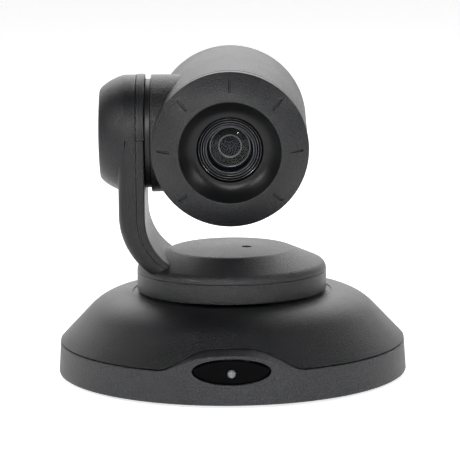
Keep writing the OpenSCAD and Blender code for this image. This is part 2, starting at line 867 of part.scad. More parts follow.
module inner_half() {
    difference() {
        union() {
            intersection() {
                arm_band(0);
                seam_side();
            }
            hub_cylinder(seam_x, inner_x, hub_r);
        }
        inner_side(0);
        difference() {
            arm_hollow();
            inner_side(inner_wall);
        }
        hub_cylinder(seam_x - 1, inner_x + 1, tilt_shaft_r + 1);
    }
}

module arm_inner_cover() {
    color("#2b2c2e") difference() {
        inner_half();
        translate([-150, -100, axis_h]) cube([200, 200, 100]);
    }
}

module hub_collar() {
    color("#252628") intersection() {
        inner_half();
        translate([-150, -100, axis_h]) cube([200, 200, 100]);
    }
}

function cap_outline(inset) = concat(
    [for (i = [0 : arc_steps]) let (a = 90 * i / arc_steps)
        [cap_face_r - inset + cap_chamfer * pow(cos(a), cap_flatness),
         (cap_h - cap_bulge - inset) * pow(sin(a), cap_flatness)]],
    [for (i = [3 : -1 : 0]) let (r = (cap_face_r - inset) * i / 4)
        [r, cap_h - inset - cap_bulge * pow(i / 4, 2)]]);
cap_bulge = 1.1;
// Power of the cap's shoulder: 1 is a quarter ellipse, 2 is a straight chamfer
cap_flatness = 1.45;

module hub_cap() {
    outer = cap_outline(0);
    inner = cap_outline(turret_wall);
    color("#252628") at_tilt_axis() translate([cap_x, 0, 0]) rotate([0, -90, 0]) rotate_extrude($fn = 96)
        polygon(concat(outer, [for (i = [len(inner) - 1 : -1 : 0]) inner[i]]));
}

tilt_lug_spread = tilt_motor_r + 2.6;

module at_tilt_motor(x) {
    at_tilt_axis() translate([x, 0, -tilt_centre_distance]) sideways() children();
}

module tilt_lugs(h, r) {
    for (s = [-1, 1]) translate([0, s * tilt_lug_spread, 0]) cylinder(r = r, h = h);
}

module arm_frame() {
    color("#7d8085") difference() {
        union() {
            translate([frame_x, -frame_half_w, arm_cz]) cube([frame_t, 2 * frame_half_w, axis_h - arm_cz]);
            hub_cylinder(frame_x, frame_x + frame_t, frame_half_w + 4);
            hub_cylinder(housing_end_x, frame_x + frame_t, tilt_housing_r);
            translate([arm_cx, 0, arm_cz]) rotate([90, 0, 0]) rotate([0, 0, 180])
                rotate_extrude(angle = 90, $fn = 96)
                translate([arm_arc - frame_out - frame_t, -frame_half_w]) square([frame_t,
                    2 * frame_half_w]);
            translate([arm_cx, -frame_half_w, foot_z]) cube([post_x + 5 - arm_cx, 2 * frame_half_w,
                frame_t]);
        }
        hub_cylinder(housing_end_x - 1, frame_x + frame_t + 1, tilt_shaft_r + bush_wall);
        at_tilt_motor(frame_x - 1) cylinder(r = 4.2, h = frame_t + 2);
        at_tilt_motor(frame_x - 1) tilt_lugs(frame_t + 2, screw_r * 0.8);
        for (s = [-1, 1]) translate([post_x, s * post_y, foot_z - 1]) cylinder(r = screw_r + fit_gap,
            h = frame_t + 2);
    }
}

module arm_foot_screws() {
    color("#9a9da1") for (s = [-1, 1]) translate([post_x, s * post_y, foot_z + frame_t])
        mirror([0, 0, 1]) screw_up(frame_t + 5);
}

module tilt_bushes() {
    color("#c8a765") for (end = [0, 1]) {
        x0 = end == 0 ? housing_end_x : frame_x + frame_t - bush_len;
        flange_x = end == 0 ? housing_end_x - bush_flange_t : frame_x + frame_t;
        difference() {
            union() {
                hub_cylinder(x0, x0 + bush_len, tilt_shaft_r + bush_wall);
                hub_cylinder(flange_x, flange_x + bush_flange_t, bush_flange_r);
            }
            hub_cylinder(flange_x - 10, x0 + 20, tilt_shaft_r + running_gap);
        }
    }
}

module tilt_motor() {
    color("#9ea1a6") difference() {
        union() {
            at_tilt_motor(frame_x - tilt_motor_h) cylinder(r = tilt_motor_r, h = tilt_motor_h);
            at_tilt_motor(frame_x - 1) tilt_lugs(1, 2.6);
            at_tilt_motor(frame_x - tiny) cylinder(r = 4, h = frame_t - 0.5);
        }
        at_tilt_motor(frame_x - tilt_motor_h + 2) cylinder(r = rotor_r + running_gap, h = tilt_motor_h + 5);
        at_tilt_motor(frame_x - 2) tilt_lugs(3, screw_r * 0.8 + 0.1);
    }
}

module tilt_motor_screws() {
    color("#9a9da1") for (s = [-1, 1]) at_tilt_motor(frame_x - 1)
        translate([0, s * tilt_lug_spread, 0]) screw_up(3, screw_r * 0.8);
}

module tilt_rotor_shaft() {
    color("#c9ccd0") at_tilt_motor(frame_x - tilt_motor_h + 2.2)
        cylinder(r = rotor_r, h = tilt_gear_x + gear_t - frame_x + tilt_motor_h - 2.2);
}

module tilt_pinion() {
    color("#d9d4c4") at_tilt_motor(tilt_gear_x) rotate([0, 0, 180 + 180 / tilt_pinion_teeth])
        gear(tilt_pinion_teeth, gear_t, rotor_r);
}

module tilt_gear() {
    color("#d9d4c4") at_tilt_axis() translate([tilt_gear_x, 0, 0])
        sideways() gear(tilt_teeth, gear_t, tilt_shaft_r);
}

module tilt_shaft() {
    flange_x = boss_x + head_wall;
    color("#b9bcc1") difference() {
        union() {
            hub_cylinder(housing_end_x - 3, flange_x + 2, tilt_shaft_r);
            hub_cylinder(flange_x, flange_x + 2, tilt_shaft_r + 7);
        }
        hub_cylinder(housing_end_x - 4, flange_x + 3, tilt_bore_r);
    }
}

module tilt_retaining_ring() {
    ring_x = housing_end_x - bush_flange_t - 1.2;
    color("#8b8e92") difference() {
        hub_cylinder(ring_x, ring_x + 1, tilt_shaft_r + 2.5);
        hub_cylinder(ring_x - 1, ring_x + 2, tilt_shaft_r);
    }
}

module tilt_seal_ring() {
    color("#141415") difference() {
        hub_cylinder(inner_x + 0.2, boss_x, hub_r - 2.5);
        hub_cylinder(inner_x - 1, boss_x + 1, hub_r - 6);
    }
}

/* Head */

module head_barrel() {
    length = barrel_front + barrel_rear;
    color("#303133") in_head() difference() {
        union() {
            translate([0, barrel_rear, 0]) forward() cylinder(r = barrel_r, h = length, $fn = 96);
            translate([boss_x, 0, 0]) sideways() cylinder(r = hub_r, h = -boss_x, $fn = 96);
        }
        translate([0, barrel_rear + 1, 0]) forward() cylinder(r = barrel_r - head_wall, h = length + 2,
            $fn = 96);
        translate([boss_x + head_wall, 0, 0]) sideways() cylinder(r = hub_r - head_wall, h = -boss_x,
            $fn = 96);
        translate([boss_x - 1, 0, 0]) sideways() cylinder(r = tilt_shaft_r, h = 10);
    }
}

rear_r = barrel_r - 0.5;
function rear_outline(inset) = [for (i = [0 : 10]) let (a = 9 * i)
    [(rear_r - inset) * pow(cos(a), 0.55), (rear_cap_h - inset) * sin(a)]];

module rear_cap() {
    inner = rear_outline(head_wall);
    color("#2b2c2e") in_head() translate([0, barrel_rear, 0]) rotate([-90, 0, 0]) rotate_extrude($fn = 96)
        polygon(concat(rear_outline(0), [for (i = [len(inner) - 1 : -1 : 0]) inner[i]]));
}

// The bezel's face swells a little between its widest edge and its lip
bezel_swell = 0.6;
bezel_steps = 9;
function bezel_s(u) = bezel_edge + bezel_rise * (bezel_swell * sin(90 * u) + (1 - bezel_swell) * u);
bezel_lip_in = lip_r - 0.7;

module front_bezel() {
    color("#2b2c2e") in_head() forward() rotate_extrude($fn = 96) polygon(concat(
        [[barrel_r - 0.4, barrel_front], [bezel_r, bezel_edge]],
        [for (i = [1 : bezel_steps]) let (u = i / bezel_steps)
            [bezel_r + (lip_r - bezel_r) * u, bezel_s(u)]],
        [[bezel_lip_in, lip_s - 0.4], [bezel_lip_in, lip_s - 4.5]],
        [for (i = [bezel_steps - 1 : -1 : 1]) let (u = i / bezel_steps)
            [bezel_r - head_wall + (lip_r - bezel_r + head_wall) * u, bezel_s(u) - head_wall]],
        [[barrel_r - head_wall, barrel_front]]));
}

module lens_surround() {
    thickness = 2;
    top_r = bezel_lip_in - 0.1;
    color("#1e1f21") in_head() forward() rotate_extrude($fn = 96) polygon([
        [top_r, lip_s - 0.4],
        [surround_r, surround_s],
        [surround_r, surround_s - thickness],
        [top_r, lip_s - 0.4 - thickness]]);
}

tube_back = -8;
tube_wall = 2;
tube_front = surround_s - 0.6;
front_glass_t = 4;

module lens_barrel() {
    color("#141416") in_head() forward() rotate_extrude() polygon([
        [lens_tube_r, tube_back],
        [lens_tube_r, tube_front],
        [lens_tube_r - 2.2, tube_front],
        [lens_tube_r - 2.2, tube_front - 1],
        [front_glass_r + 1, tube_front - 1],
        [front_glass_r + 1, tube_front - 3],
        [front_glass_r, tube_front - 3],
        [front_glass_r, tube_front - 4 - front_glass_t],
        [front_glass_r - 1, tube_front - 4 - front_glass_t],
        [front_glass_r - 1, tube_front - 6 - front_glass_t],
        [lens_tube_r - tube_wall, tube_front - 6 - front_glass_t],
        [lens_tube_r - tube_wall, tube_back]]);
}

module lens_front_ring() {
    color("#2a2a2c") in_head() forward() translate([0, 0, tube_front - 3])
        ring(front_glass_r + 1, front_glass_r - 0.8, 2.4);
}

// A glass element: front and back bulge forward by their own sags
module glass(r, z, thickness, front_sag, back_sag) {
    steps = 6;
    rotate_extrude() polygon(concat(
        [for (i = [0 : steps]) let (u = i / steps) [r * u, z + back_sag * (1 - u * u)]],
        [for (i = [steps : -1 : 0]) let (u = i / steps) [r * u, z + thickness + front_sag * (1 - u * u)]]));
}

module front_element() {
    color("#223344") in_head() forward()
        glass(front_glass_r - 0.05, tube_front - 4 - front_glass_t, front_glass_t, 2.4, 1.2);
}

module carrier(z, h, glass_r) {
    color("#1c1c1e") in_head() forward() translate([0, 0, z])
        ring(lens_tube_r - tube_wall - fit_gap, glass_r, h);
    color("#2a3c4c") in_head() forward() glass(glass_r, z + 2, h - 4, 1, -1);
}

zoom_z = 17;
zoom_len = 8;
focus_z = -1;
focus_len = 6;
iris_z = 9.5;

module zoom_lens_group() {
    carrier(zoom_z, zoom_len, carrier_r - 2);
}

module focus_lens_group() {
    carrier(focus_z, focus_len, carrier_r - 4);
}

module iris_ring() {
    color("#202022") in_head() forward() translate([0, 0, iris_z]) ring(lens_tube_r - tube_wall, 6, 1.5);
}

module sensor_board() {
    color("#1f5a3a") in_head() forward() translate([-22, -17, tube_back - board_t]) cube([44, 36, board_t]);
    color("#101014") in_head() forward() translate([-5, -4, tube_back - tiny]) cube([10, 8, 1.5]);
}

module camera_chassis() {
    web_x = boss_x + head_wall + 2;
    shelf_z = -24;
    color("#85888c") in_head() difference() {
        union() {
            translate([web_x, 0, 0]) sideways() cylinder(r = tilt_shaft_r + 8, h = 2);
            translate([web_x, -16, shelf_z]) cube([2, 32, -shelf_z]);
            translate([web_x, -20, shelf_z]) cube([24 - web_x, 36, 2]);
            translate([-9, -18, shelf_z]) cube([18, 24, 14]);
        }
        translate([web_x - 1, 0, 0]) sideways() cylinder(r = tilt_bore_r, h = 4);
        translate([0, 20, 0]) forward() cylinder(r = lens_tube_r, h = 80);
    }
}

module base_screws() {
    color("#9a9da1") {
        around(post_ring_r, dome_post_angles) translate([0, 0, foot_h]) screw_up(plate_t + 5);
        around(chassis_screw_ring, chassis_angles) translate([0, 0, foot_h]) screw_up(plate_t + 4);
    }
}

base_plate();
rubber_feet();
base_rim();
base_dome();
rear_bay();
dc_power_jack();
usb_port();
network_port();
tripod_insert();
base_screws();
main_board();
board_standoffs();
board_screws();
processor_heatsink();
infrared_window();
status_lamp();
receiver_board();
pan_chassis();
pan_bush();
pan_motor();
pan_motor_screws();
pan_pinion();
pan_rotor_shaft();
pan_shaft();
pan_thrust_washer();
pan_gear();
pan_retaining_ring();
turret_skirt();
turret_cover();
turret_cover_screw();
turret_screws();
driver_board();
arm_frame();
arm_foot_screws();
arm_outer_shell();
arm_inner_cover();
hub_collar();
hub_cap();
tilt_bushes();
tilt_motor();
tilt_motor_screws();
tilt_pinion();
tilt_rotor_shaft();
tilt_shaft();
tilt_gear();
tilt_retaining_ring();
tilt_seal_ring();
head_barrel();
rear_cap();
front_bezel();
lens_surround();
lens_barrel();
lens_front_ring();
front_element();
camera_chassis();
iris_ring();
sensor_board();
zoom_lens_group();
focus_lens_group();
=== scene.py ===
import bpy
import bmesh
import numpy as np
from mathutils import Matrix, Vector


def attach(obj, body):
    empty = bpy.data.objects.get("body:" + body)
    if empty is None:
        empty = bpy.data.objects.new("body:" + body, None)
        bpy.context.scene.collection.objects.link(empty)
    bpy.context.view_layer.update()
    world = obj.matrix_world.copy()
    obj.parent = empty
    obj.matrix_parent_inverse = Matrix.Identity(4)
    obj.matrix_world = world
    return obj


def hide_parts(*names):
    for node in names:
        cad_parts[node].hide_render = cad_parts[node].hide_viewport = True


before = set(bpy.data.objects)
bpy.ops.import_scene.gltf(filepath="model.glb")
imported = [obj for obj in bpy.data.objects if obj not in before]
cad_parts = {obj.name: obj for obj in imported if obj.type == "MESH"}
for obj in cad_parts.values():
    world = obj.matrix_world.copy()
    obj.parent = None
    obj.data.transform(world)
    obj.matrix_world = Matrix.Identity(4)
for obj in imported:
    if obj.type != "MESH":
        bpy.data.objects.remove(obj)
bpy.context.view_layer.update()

# Studio: a white sweep of paper, a room that is dim in front and bright behind, and five soft lamps.
# The black mouldings have almost no colour of their own, so the lamps draw their shapes as highlights.
MM = 0.001


def linear(hex_colour):
    """sRGB hex turned to linear RGBA: each channel over 255, then ((c + 0.055) / 1.055) to the power 2.4."""
    c = np.array([int(hex_colour[i:i + 2], 16) for i in (1, 3, 5)]) / 255
    c = np.where(c <= 0.04045, c / 12.92, ((c + 0.055) / 1.055) ** 2.4)
    return (*c.tolist(), 1.0)


def add_node(tree, kind, inputs=None, **settings):
    """One shader node with its settings; an input's value is a number, a colour or another node's output."""
    node = tree.nodes.new(kind)
    for key, value in settings.items():
        setattr(node, key, value)
    for socket, value in (inputs or {}).items():
        if isinstance(value, bpy.types.NodeSocket):
            tree.links.new(value, node.inputs[socket])
        else:
            node.inputs[socket].default_value = value
    return node


def new_material(name):
    """An empty node material, its tree, and the object coordinates that its patterns follow."""
    material = bpy.data.materials.new(name)
    material.use_nodes = True
    tree = material.node_tree
    tree.nodes.clear()
    return material, tree, add_node(tree, "ShaderNodeTexCoord").outputs["Object"]


def finish_material(material, tree, tones=None, **values):
    """The Principled shader of a material, joined to its output. Its colour runs between two tones, given
    as (share, first colour, second colour)."""
    if tones:
        share, first_tone, second_tone = tones
        values["color"] = add_node(tree, "ShaderNodeMix",
            {"Factor": share, "A": linear(first_tone), "B": linear(second_tone)},
            data_type="RGBA").outputs["Result"]
    names = {"color": "Base Color", "roughness": "Roughness", "metallic": "Metallic", "ior": "IOR",
        "specular": "Specular IOR Level", "normal": "Normal", "glow": "Emission Strength",
        "glow_color": "Emission Color", "tint": "Specular Tint", "alpha": "Alpha",
        "scatter": "Subsurface Weight", "scatter_scale": "Subsurface Scale"}
    shader = add_node(tree, "ShaderNodeBsdfPrincipled", {names[k]: v for k, v in values.items()})
    add_node(tree, "ShaderNodeOutputMaterial", {"Surface": shader.outputs["BSDF"]})
    return material


def seamless_paper():
    """Matt white background paper: nearly even, with a faint fibre mottle of about 4 mm."""
    material, tree, place = new_material("white_seamless_paper")
    mottle = add_node(tree, "ShaderNodeTexNoise", {"Vector": place, "Scale": 250.0, "Detail": 2.0})
    return finish_material(material, tree, tones=(mottle.outputs["Fac"], "#f7f7f7", "#fcfcfc"),
        roughness=0.9, specular=0.1, glow_color=linear("#ffffff"), glow=0.62)


def sweep_sheet(half_width, front, back, height, bend):
    """Sheet of paper: flat from front to back, then a quarter circle of radius bend, then straight up."""
    turn = np.radians(np.linspace(0, 90, 13))
    y = np.concatenate([[front], back + bend * np.sin(turn), [back + bend]])
    z = np.concatenate([[0], bend * (1 - np.cos(turn)), [height]])
    verts = np.array([[s * half_width, a, b] for s in (-1, 1) for a, b in zip(y, z)])
    n = len(y)
    return verts, [[i, i + n, i + n + 1, i + 1] for i in range(n - 1)]


verts, faces = sweep_sheet(6.0, -6.0, 3.0, 0.75, 0.6)
mesh = bpy.data.meshes.new("paper_sweep")
mesh.from_pydata(verts.tolist(), [], faces)
mesh.polygons.foreach_set("use_smooth", [True] * len(faces))
mesh.materials.append(seamless_paper())
paper = bpy.data.objects.new("paper_sweep", mesh)
bpy.context.scene.collection.objects.link(paper)

world = bpy.data.worlds.new("studio_room")
world.use_nodes = True
world.node_tree.nodes.clear()
heading = add_node(world.node_tree, "ShaderNodeSeparateXYZ",
    {0: add_node(world.node_tree, "ShaderNodeTexCoord").outputs["Generated"]})
darkening = add_node(world.node_tree, "ShaderNodeMapRange",
    {"Value": heading.outputs["Y"], "From Min": 0.3, "From Max": 0.95, "To Min": 0.035, "To Max": 2.3},
    interpolation_type="SMOOTHSTEP")
room = add_node(world.node_tree, "ShaderNodeBackground",
    {"Color": linear("#ffffff"), "Strength": darkening.outputs[0]})
add_node(world.node_tree, "ShaderNodeOutputWorld", {"Surface": room.outputs[0]})
bpy.context.scene.world = world


def soft_lamp(name, place, target, width, height, watts):
    """A rectangular soft box at a place in metres, facing its target."""
    data = bpy.data.lights.new(name, "AREA")
    data.shape, data.size, data.size_y, data.energy = "RECTANGLE", width, height, watts
    lamp = bpy.data.objects.new(name, data)
    lamp.location = place
    lamp.rotation_euler = (Vector(target) - Vector(place)).to_track_quat("-Z", "Y").to_euler()
    bpy.context.scene.collection.objects.link(lamp)


soft_lamp("front_softbox", (-0.12, -1.5, 0.9), (0, 0, 0.1), 0.3, 0.5, 18)
soft_lamp("left_softbox", (-0.95, -0.75, 0.75), (0, 0, 0.1), 0.14, 0.18, 8)
soft_lamp("right_softbox", (1.05, -0.55, 0.7), (0, 0, 0.1), 0.12, 0.18, 5)
soft_lamp("low_softbox", (0.35, -1.5, 0.42), (0, 0, 0.1), 0.12, 0.12, 2.5)
soft_lamp("back_softbox", (0, 0.9, 0.95), (0, 0, 0.06), 1.4, 0.4, 6)

# Camera: stands 1.8 m in front of the pan axis, a little above the object, with a 243 mm lens.
camera_data = bpy.data.cameras.new("camera")
camera_data.sensor_width = 36.0
camera_data.lens = 3104.72 / 460 * 36.0
CAMERA_DISTANCE = 1.8
CAMERA_HEIGHT_ANGLE = np.radians(9.74)
CAMERA_TURN = np.radians(0.4)
CAMERA_ROLL = np.radians(-0.58)
aim = Vector((-0.76 * MM, 0, 83.51 * MM))
camera = bpy.data.objects.new("camera", camera_data)
camera.location = aim + CAMERA_DISTANCE * Vector((np.cos(CAMERA_HEIGHT_ANGLE) * np.sin(CAMERA_TURN),
    -np.cos(CAMERA_HEIGHT_ANGLE) * np.cos(CAMERA_TURN), np.sin(CAMERA_HEIGHT_ANGLE)))
look = (aim - camera.location).to_track_quat("-Z", "Y")
camera.rotation_euler = (look.to_matrix().to_4x4() @ Matrix.Rotation(CAMERA_ROLL, 4, "Z")).to_euler()
bpy.context.scene.collection.objects.link(camera)
bpy.context.scene.camera = camera
bpy.context.scene.view_settings.view_transform = "Standard"

# Base rim: the black ABS skirt that carries the camera, injection moulded with a fine spark-eroded
# texture. It rises in front into a brow round the oval window, and it is notched for the sockets.
# It is screwed to the steel base plate from below.
FOOT_Z = 2.0
SEAM_Z = 20.2
BASE_TOP = 48.6
SLOPE_AIM_R = 73.6
FOOT_R = 101.0
RIM_TAPER = 1.06
WALL = 2.6
BROW_RISE = 9.7
BROW_HALF = 42.0
LEDGE_SLOPE = np.tan(np.radians(9.4))
WINDOW = (22.2, 7.3, 20.8)
BAY_HALF = 40.15
BAY_TOP = 24.65
LIP = 0.8


def moulded_plastic(name, dark, light, roughness, grain, depth, specular=0.35):
    """Black moulded ABS. The eye sees the fine even grain of an eroded mould, drawn coarse so that it shows
    (grain and depth are in mm), a slow change of gloss where the melt cooled, and soft wide highlights."""
    material, tree, place = new_material(name)
    fine = add_node(tree, "ShaderNodeTexNoise", {"Vector": place, "Scale": 1000 / grain, "Detail": 3.0})
    flow = add_node(tree, "ShaderNodeTexNoise", {"Vector": place, "Scale": 22.0, "Detail": 2.0})
    pits = add_node(tree, "ShaderNodeMapRange",
        {"Value": fine.outputs["Fac"], "From Min": 0.38, "From Max": 0.62})
    mixed = add_node(tree, "ShaderNodeMath", {0: pits.outputs[0], 1: flow.outputs["Fac"]},
        operation="MULTIPLY")
    gloss = add_node(tree, "ShaderNodeMapRange",
        {"Value": flow.outputs["Fac"], "From Min": 0.3, "From Max": 0.7, "To Min": roughness - 0.04,
        "To Max": roughness + 0.04})
    grain_bump = add_node(tree, "ShaderNodeBump",
        {"Height": pits.outputs[0], "Strength": 0.8, "Distance": depth * MM})
    return finish_material(material, tree, tones=(mixed.outputs[0], dark, light),
        roughness=gloss.outputs[0], specular=specular, normal=grain_bump.outputs["Normal"])


def sheet_faces(rows, columns, wrap_rows, wrap_columns, start=0):
    """Quads of a grid of points numbered row by row, joined to its first row or column where it wraps."""
    i = np.arange(rows if wrap_rows else rows - 1)[:, None]
    j = np.arange(columns if wrap_columns else columns - 1)[None, :]
    a = i * columns + j
    b = i * columns + (j + 1) % columns
    c = ((i + 1) % rows) * columns + (j + 1) % columns
    d = ((i + 1) % rows) * columns + j
    return (np.stack([a, b, c, d], -1).reshape(-1, 4) + start).tolist()


def grid(points, wrap_rows=False, wrap_columns=False):
    """A grid of points (rows, columns, 3) in mm as vertices and quads."""
    rows, columns = points.shape[:2]
    return points.reshape(-1, 3), sheet_faces(rows, columns, wrap_rows, wrap_columns)


def piece(name, parts, material, body, stands_for, sharp=32):
    """One object from grids in mm: joined, its seams and poles merged, faces turned outwards, smooth
    up to the sharp angle. It rides on its body and stands for its CAD nodes."""
    verts = np.concatenate([p[0] for p in parts])
    starts = np.cumsum([0] + [len(p[0]) for p in parts[:-1]])
    faces = [[i + s for i in f] for p, s in zip(parts, starts.tolist()) for f in p[1]]
    mesh = bpy.data.meshes.new(name)
    mesh.from_pydata((verts * MM).tolist(), [], faces)
    work = bmesh.new()
    work.from_mesh(mesh)
    bmesh.ops.remove_doubles(work, verts=work.verts, dist=0.002 * MM)
    bmesh.ops.dissolve_degenerate(work, edges=work.edges, dist=0.0005 * MM)
    bmesh.ops.recalc_face_normals(work, faces=work.faces)
    work.to_mesh(mesh)
    work.free()
    mesh.polygons.foreach_set("use_smooth", [True] * len(mesh.polygons))
    mesh.set_sharp_from_angle(angle=np.radians(sharp))
    mesh.materials.append(material)
    made = bpy.data.objects.new(name, mesh)
    bpy.context.scene.collection.objects.link(made)
    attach(made, body)
    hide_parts(*stands_for)
    return made


def rim_radius(z):
    """The rim's wall is a cone that loses its taper between the foot and the seam."""
    return FOOT_R - RIM_TAPER * (z - FOOT_Z) / (SEAM_Z - FOOT_Z)


def brow_height(x):
    """Height of the rim's top edge: the seam, plus the brow's squared cosine of |x| to the power 1.6."""
    u = np.clip(np.abs(x) / BROW_HALF, 0, 1) ** 1.6
    return SEAM_Z + BROW_RISE * np.cos(np.pi / 2 * u) ** 2


def column_angles(*stops):
    """Angles in degrees made of even runs: pairs of (last angle, number of steps)."""
    runs, last = [np.array([0.0])], 0.0
    for stop, steps in stops:
        runs.append(np.linspace(last, stop, steps + 1)[1:])
        last = stop
    return np.concatenate(runs)


def smooth_step(u):
    """Rises from 0 to 1 with level ends."""
    u = np.clip(u, 0, 1)
    return u * u * (3 - 2 * u)


patch_angle = 17.5
notch_angle = 180 - np.degrees(np.arcsin(BAY_HALF / FOOT_R))
half = column_angles((patch_angle, 28), (30, 16), (notch_angle, 84), (notch_angle, 1), (180, 14))
angles = np.radians(np.concatenate([-half[:0:-1], half[:-1]]))
in_notch = np.zeros(len(half), bool)
in_notch[28 + 16 + 84 + 1:] = True
in_notch = np.concatenate([in_notch[:0:-1], in_notch[:-1]])
sin_a, cos_a = np.sin(angles), np.cos(angles)
front_x = rim_radius(SEAM_Z) * sin_a
is_front = cos_a > 0
top_z = np.where(is_front, brow_height(front_x), SEAM_Z)
top_z = np.where(in_notch, 4.0, top_z)
brow_share = smooth_step((top_z - SEAM_Z) / 1.5) * is_front
near_notch = smooth_step((np.degrees(np.abs(angles)) - notch_angle + 12) / 8)
straight = np.maximum(brow_share, near_notch)
inward = np.stack([-sin_a, cos_a], -1) * (1 - straight)[:, None] + np.stack([0 * sin_a, np.sign(cos_a)],
    -1) * straight[:, None]
inward /= np.abs(-inward[:, 0] * sin_a + inward[:, 1] * cos_a)[:, None]


def rim_point(depth, z):
    """A point on each column: on the rim's cone at height z, then moved inwards by depth. Columns at
    the socket notch keep one x at every height, so that the notch has upright sides."""
    r = rim_radius(z)
    s = np.where(near_notch > 0, np.sign(sin_a)
        * np.minimum(np.abs(sin_a) * (1 + near_notch * (FOOT_R / r - 1)), 1), sin_a)
    c = np.sqrt(1 - s ** 2) * np.where(cos_a < 0, -1, 1)
    return np.stack([r * s + inward[:, 0] * depth, -r * c + inward[:, 1] * depth, z + 0 * s], -1)


dome_slope = np.arctan2(BASE_TOP - SEAM_Z - 0.5, rim_radius(SEAM_Z) - SLOPE_AIM_R)
DOME_FILLET = 32.0
RING_R = SLOPE_AIM_R - DOME_FILLET * np.tan(dome_slope / 2)


def dome_radius(z):
    """The dome's straight slope: radius at a height."""
    return RING_R + DOME_FILLET * np.sin(dome_slope) + (BASE_TOP - DOME_FILLET + DOME_FILLET
        * np.cos(dome_slope) - z) / np.tan(dome_slope)


low, high = np.zeros(len(angles)), np.full(len(angles), 30.0)
for _ in range(40):
    middle = (low + high) / 2
    p = rim_point(middle, top_z + LEDGE_SLOPE * middle * brow_share)
    q = rim_point(0 * middle, top_z)
    radius = np.hypot(q[:, 0] + inward[:, 0] * middle, q[:, 1] + inward[:, 1] * middle)
    outside = radius > dome_radius(top_z + LEDGE_SLOPE * middle * brow_share)
    low, high = np.where(outside, middle, low), np.where(outside, high, middle)
ledge_in = middle
ledge_end = np.maximum(WALL, (ledge_in + 1.6) * (top_z > SEAM_Z + 0.02))

wall_rows = 16
rows = [rim_point(WALL + 0.3 + 0 * sin_a, FOOT_Z + 0 * sin_a),
    rim_point(0.9 + 0 * sin_a, FOOT_Z + 0 * sin_a), rim_point(0.25 + 0 * sin_a, FOOT_Z + 0.35 + 0 * sin_a)]
foot_edge = FOOT_Z + 0.9
lip = np.minimum(LIP, 0.35 * (top_z - foot_edge))
first_wall = len(rows)
for v in np.linspace(0, 1, wall_rows + 1):
    rows.append(rim_point(0 * sin_a, foot_edge + v * (top_z - lip - foot_edge)))
slope_here = LEDGE_SLOPE * brow_share
for t in np.linspace(0, 1, 7)[1:]:
    depth = lip * t ** 2
    height = top_z - lip * (1 - t) ** 2 + slope_here * depth
    q = rim_point(0 * sin_a, np.minimum(height, top_z))
    q[:, :2] += inward * depth[:, None]
    q[:, 2] = height
    rows.append(q)
for share in (0.35, 0.7, 1.0):
    depth = lip + (ledge_end - lip) * share
    q = rim_point(0 * sin_a, top_z)
    q[:, :2] += inward * depth[:, None]
    q[:, 2] = top_z + slope_here * depth
    rows.append(q)
under = np.maximum(top_z + slope_here * ledge_end - 2.2, FOOT_Z + 0.6)
q = rim_point(0 * sin_a, top_z)
q[:, :2] += inward * ledge_end[:, None]
q[:, 2] = under
rows.append(q)
inner_top = np.maximum(top_z + slope_here * WALL - 2.2, FOOT_Z + 0.55)
first_inner = len(rows)
for v in np.linspace(1, 0, wall_rows + 1):
    z = FOOT_Z + 0.5 + v * (inner_top - FOOT_Z - 0.5)
    rows.append(rim_point(WALL + 0 * sin_a, z))
rim = np.stack(rows)

# The oval window opening: the wall's grid is cut out between two columns and two rows, outside and
# inside, and each gap is filled by rings that run from the oval to the gap's edge.
first = int(np.argmin(np.abs(angles + np.radians(patch_angle))))
last = int(np.argmin(np.abs(angles - np.radians(patch_angle))))
low_row, top_row = 4, wall_rows


def gap_edge(row_a, row_b):
    """The closed loop of grid points round the gap: along one row, up a side, back along the other, down."""
    step = 1 if row_b > row_a else -1
    along = [(row_a, c) for c in range(first, last)]
    side = [(r, last) for r in range(row_a, row_b, step)]
    back = [(row_b, c) for c in range(last, first, -1)]
    down = [(r, first) for r in range(row_b, row_a, -step)]
    return np.array([rim[r, c] for r, c in along + side + back + down])


def face_point(s, z, depth):
    """A point on the rim's front: s is the distance round the wall, depth goes straight back."""
    r = rim_radius(z)
    x = r * np.sin(s / r)
    return np.stack([x, -np.sqrt(r ** 2 - x ** 2) + depth, z], -1)


def oval_rings(edge, depth):
    """Rings from the oval, grown by a lip, out to the gap's edge; each point keeps its direction."""
    r = rim_radius(edge[:, 2])
    s = r * np.arcsin(np.clip(edge[:, 0] / r, -1, 1))
    phi = np.arctan2((edge[:, 2] - WINDOW[2]) / WINDOW[1], s / WINDOW[0])
    rings = []
    for t in np.linspace(0, 1, 8)[:-1] ** 1.3:
        a = (WINDOW[0] + 0.45) * np.cos(phi)
        b = WINDOW[2] + (WINDOW[1] + 0.45) * np.sin(phi)
        rings.append(face_point(a * (1 - t) + s * t, b * (1 - t) + edge[:, 2] * t, depth))
    return rings + [edge], phi


outer_edge = gap_edge(first_wall + low_row, first_wall + top_row)
outer_rings, phi = oval_rings(outer_edge, 0.0)
inner_edge = gap_edge(first_inner + wall_rows - low_row, first_inner)
inner_rings, _ = oval_rings(inner_edge, WALL)
tunnel = [outer_rings[0]]
for grow, depth in ((0.2, 0.06), (0.05, 0.2), (0, 0.45), (0, WALL)):
    tunnel.append(face_point((WINDOW[0] + grow) * np.cos(phi),
        WINDOW[2] + (WINDOW[1] + grow) * np.sin(phi), depth))
tunnel.append(inner_rings[0])
wall_faces = np.array(sheet_faces(len(rows), len(angles), True, True)).reshape(len(rows), len(angles), 4)
keep = np.ones(wall_faces.shape[:2], bool)
keep[first_wall + low_row:first_wall + top_row, first:last] = False
keep[first_inner:first_inner + wall_rows - low_row, first:last] = False
rim_plastic = moulded_plastic("textured_moulded_abs_rim", "#0b0b0c", "#34353a", 0.46, 0.9, 0.35, 0.45)
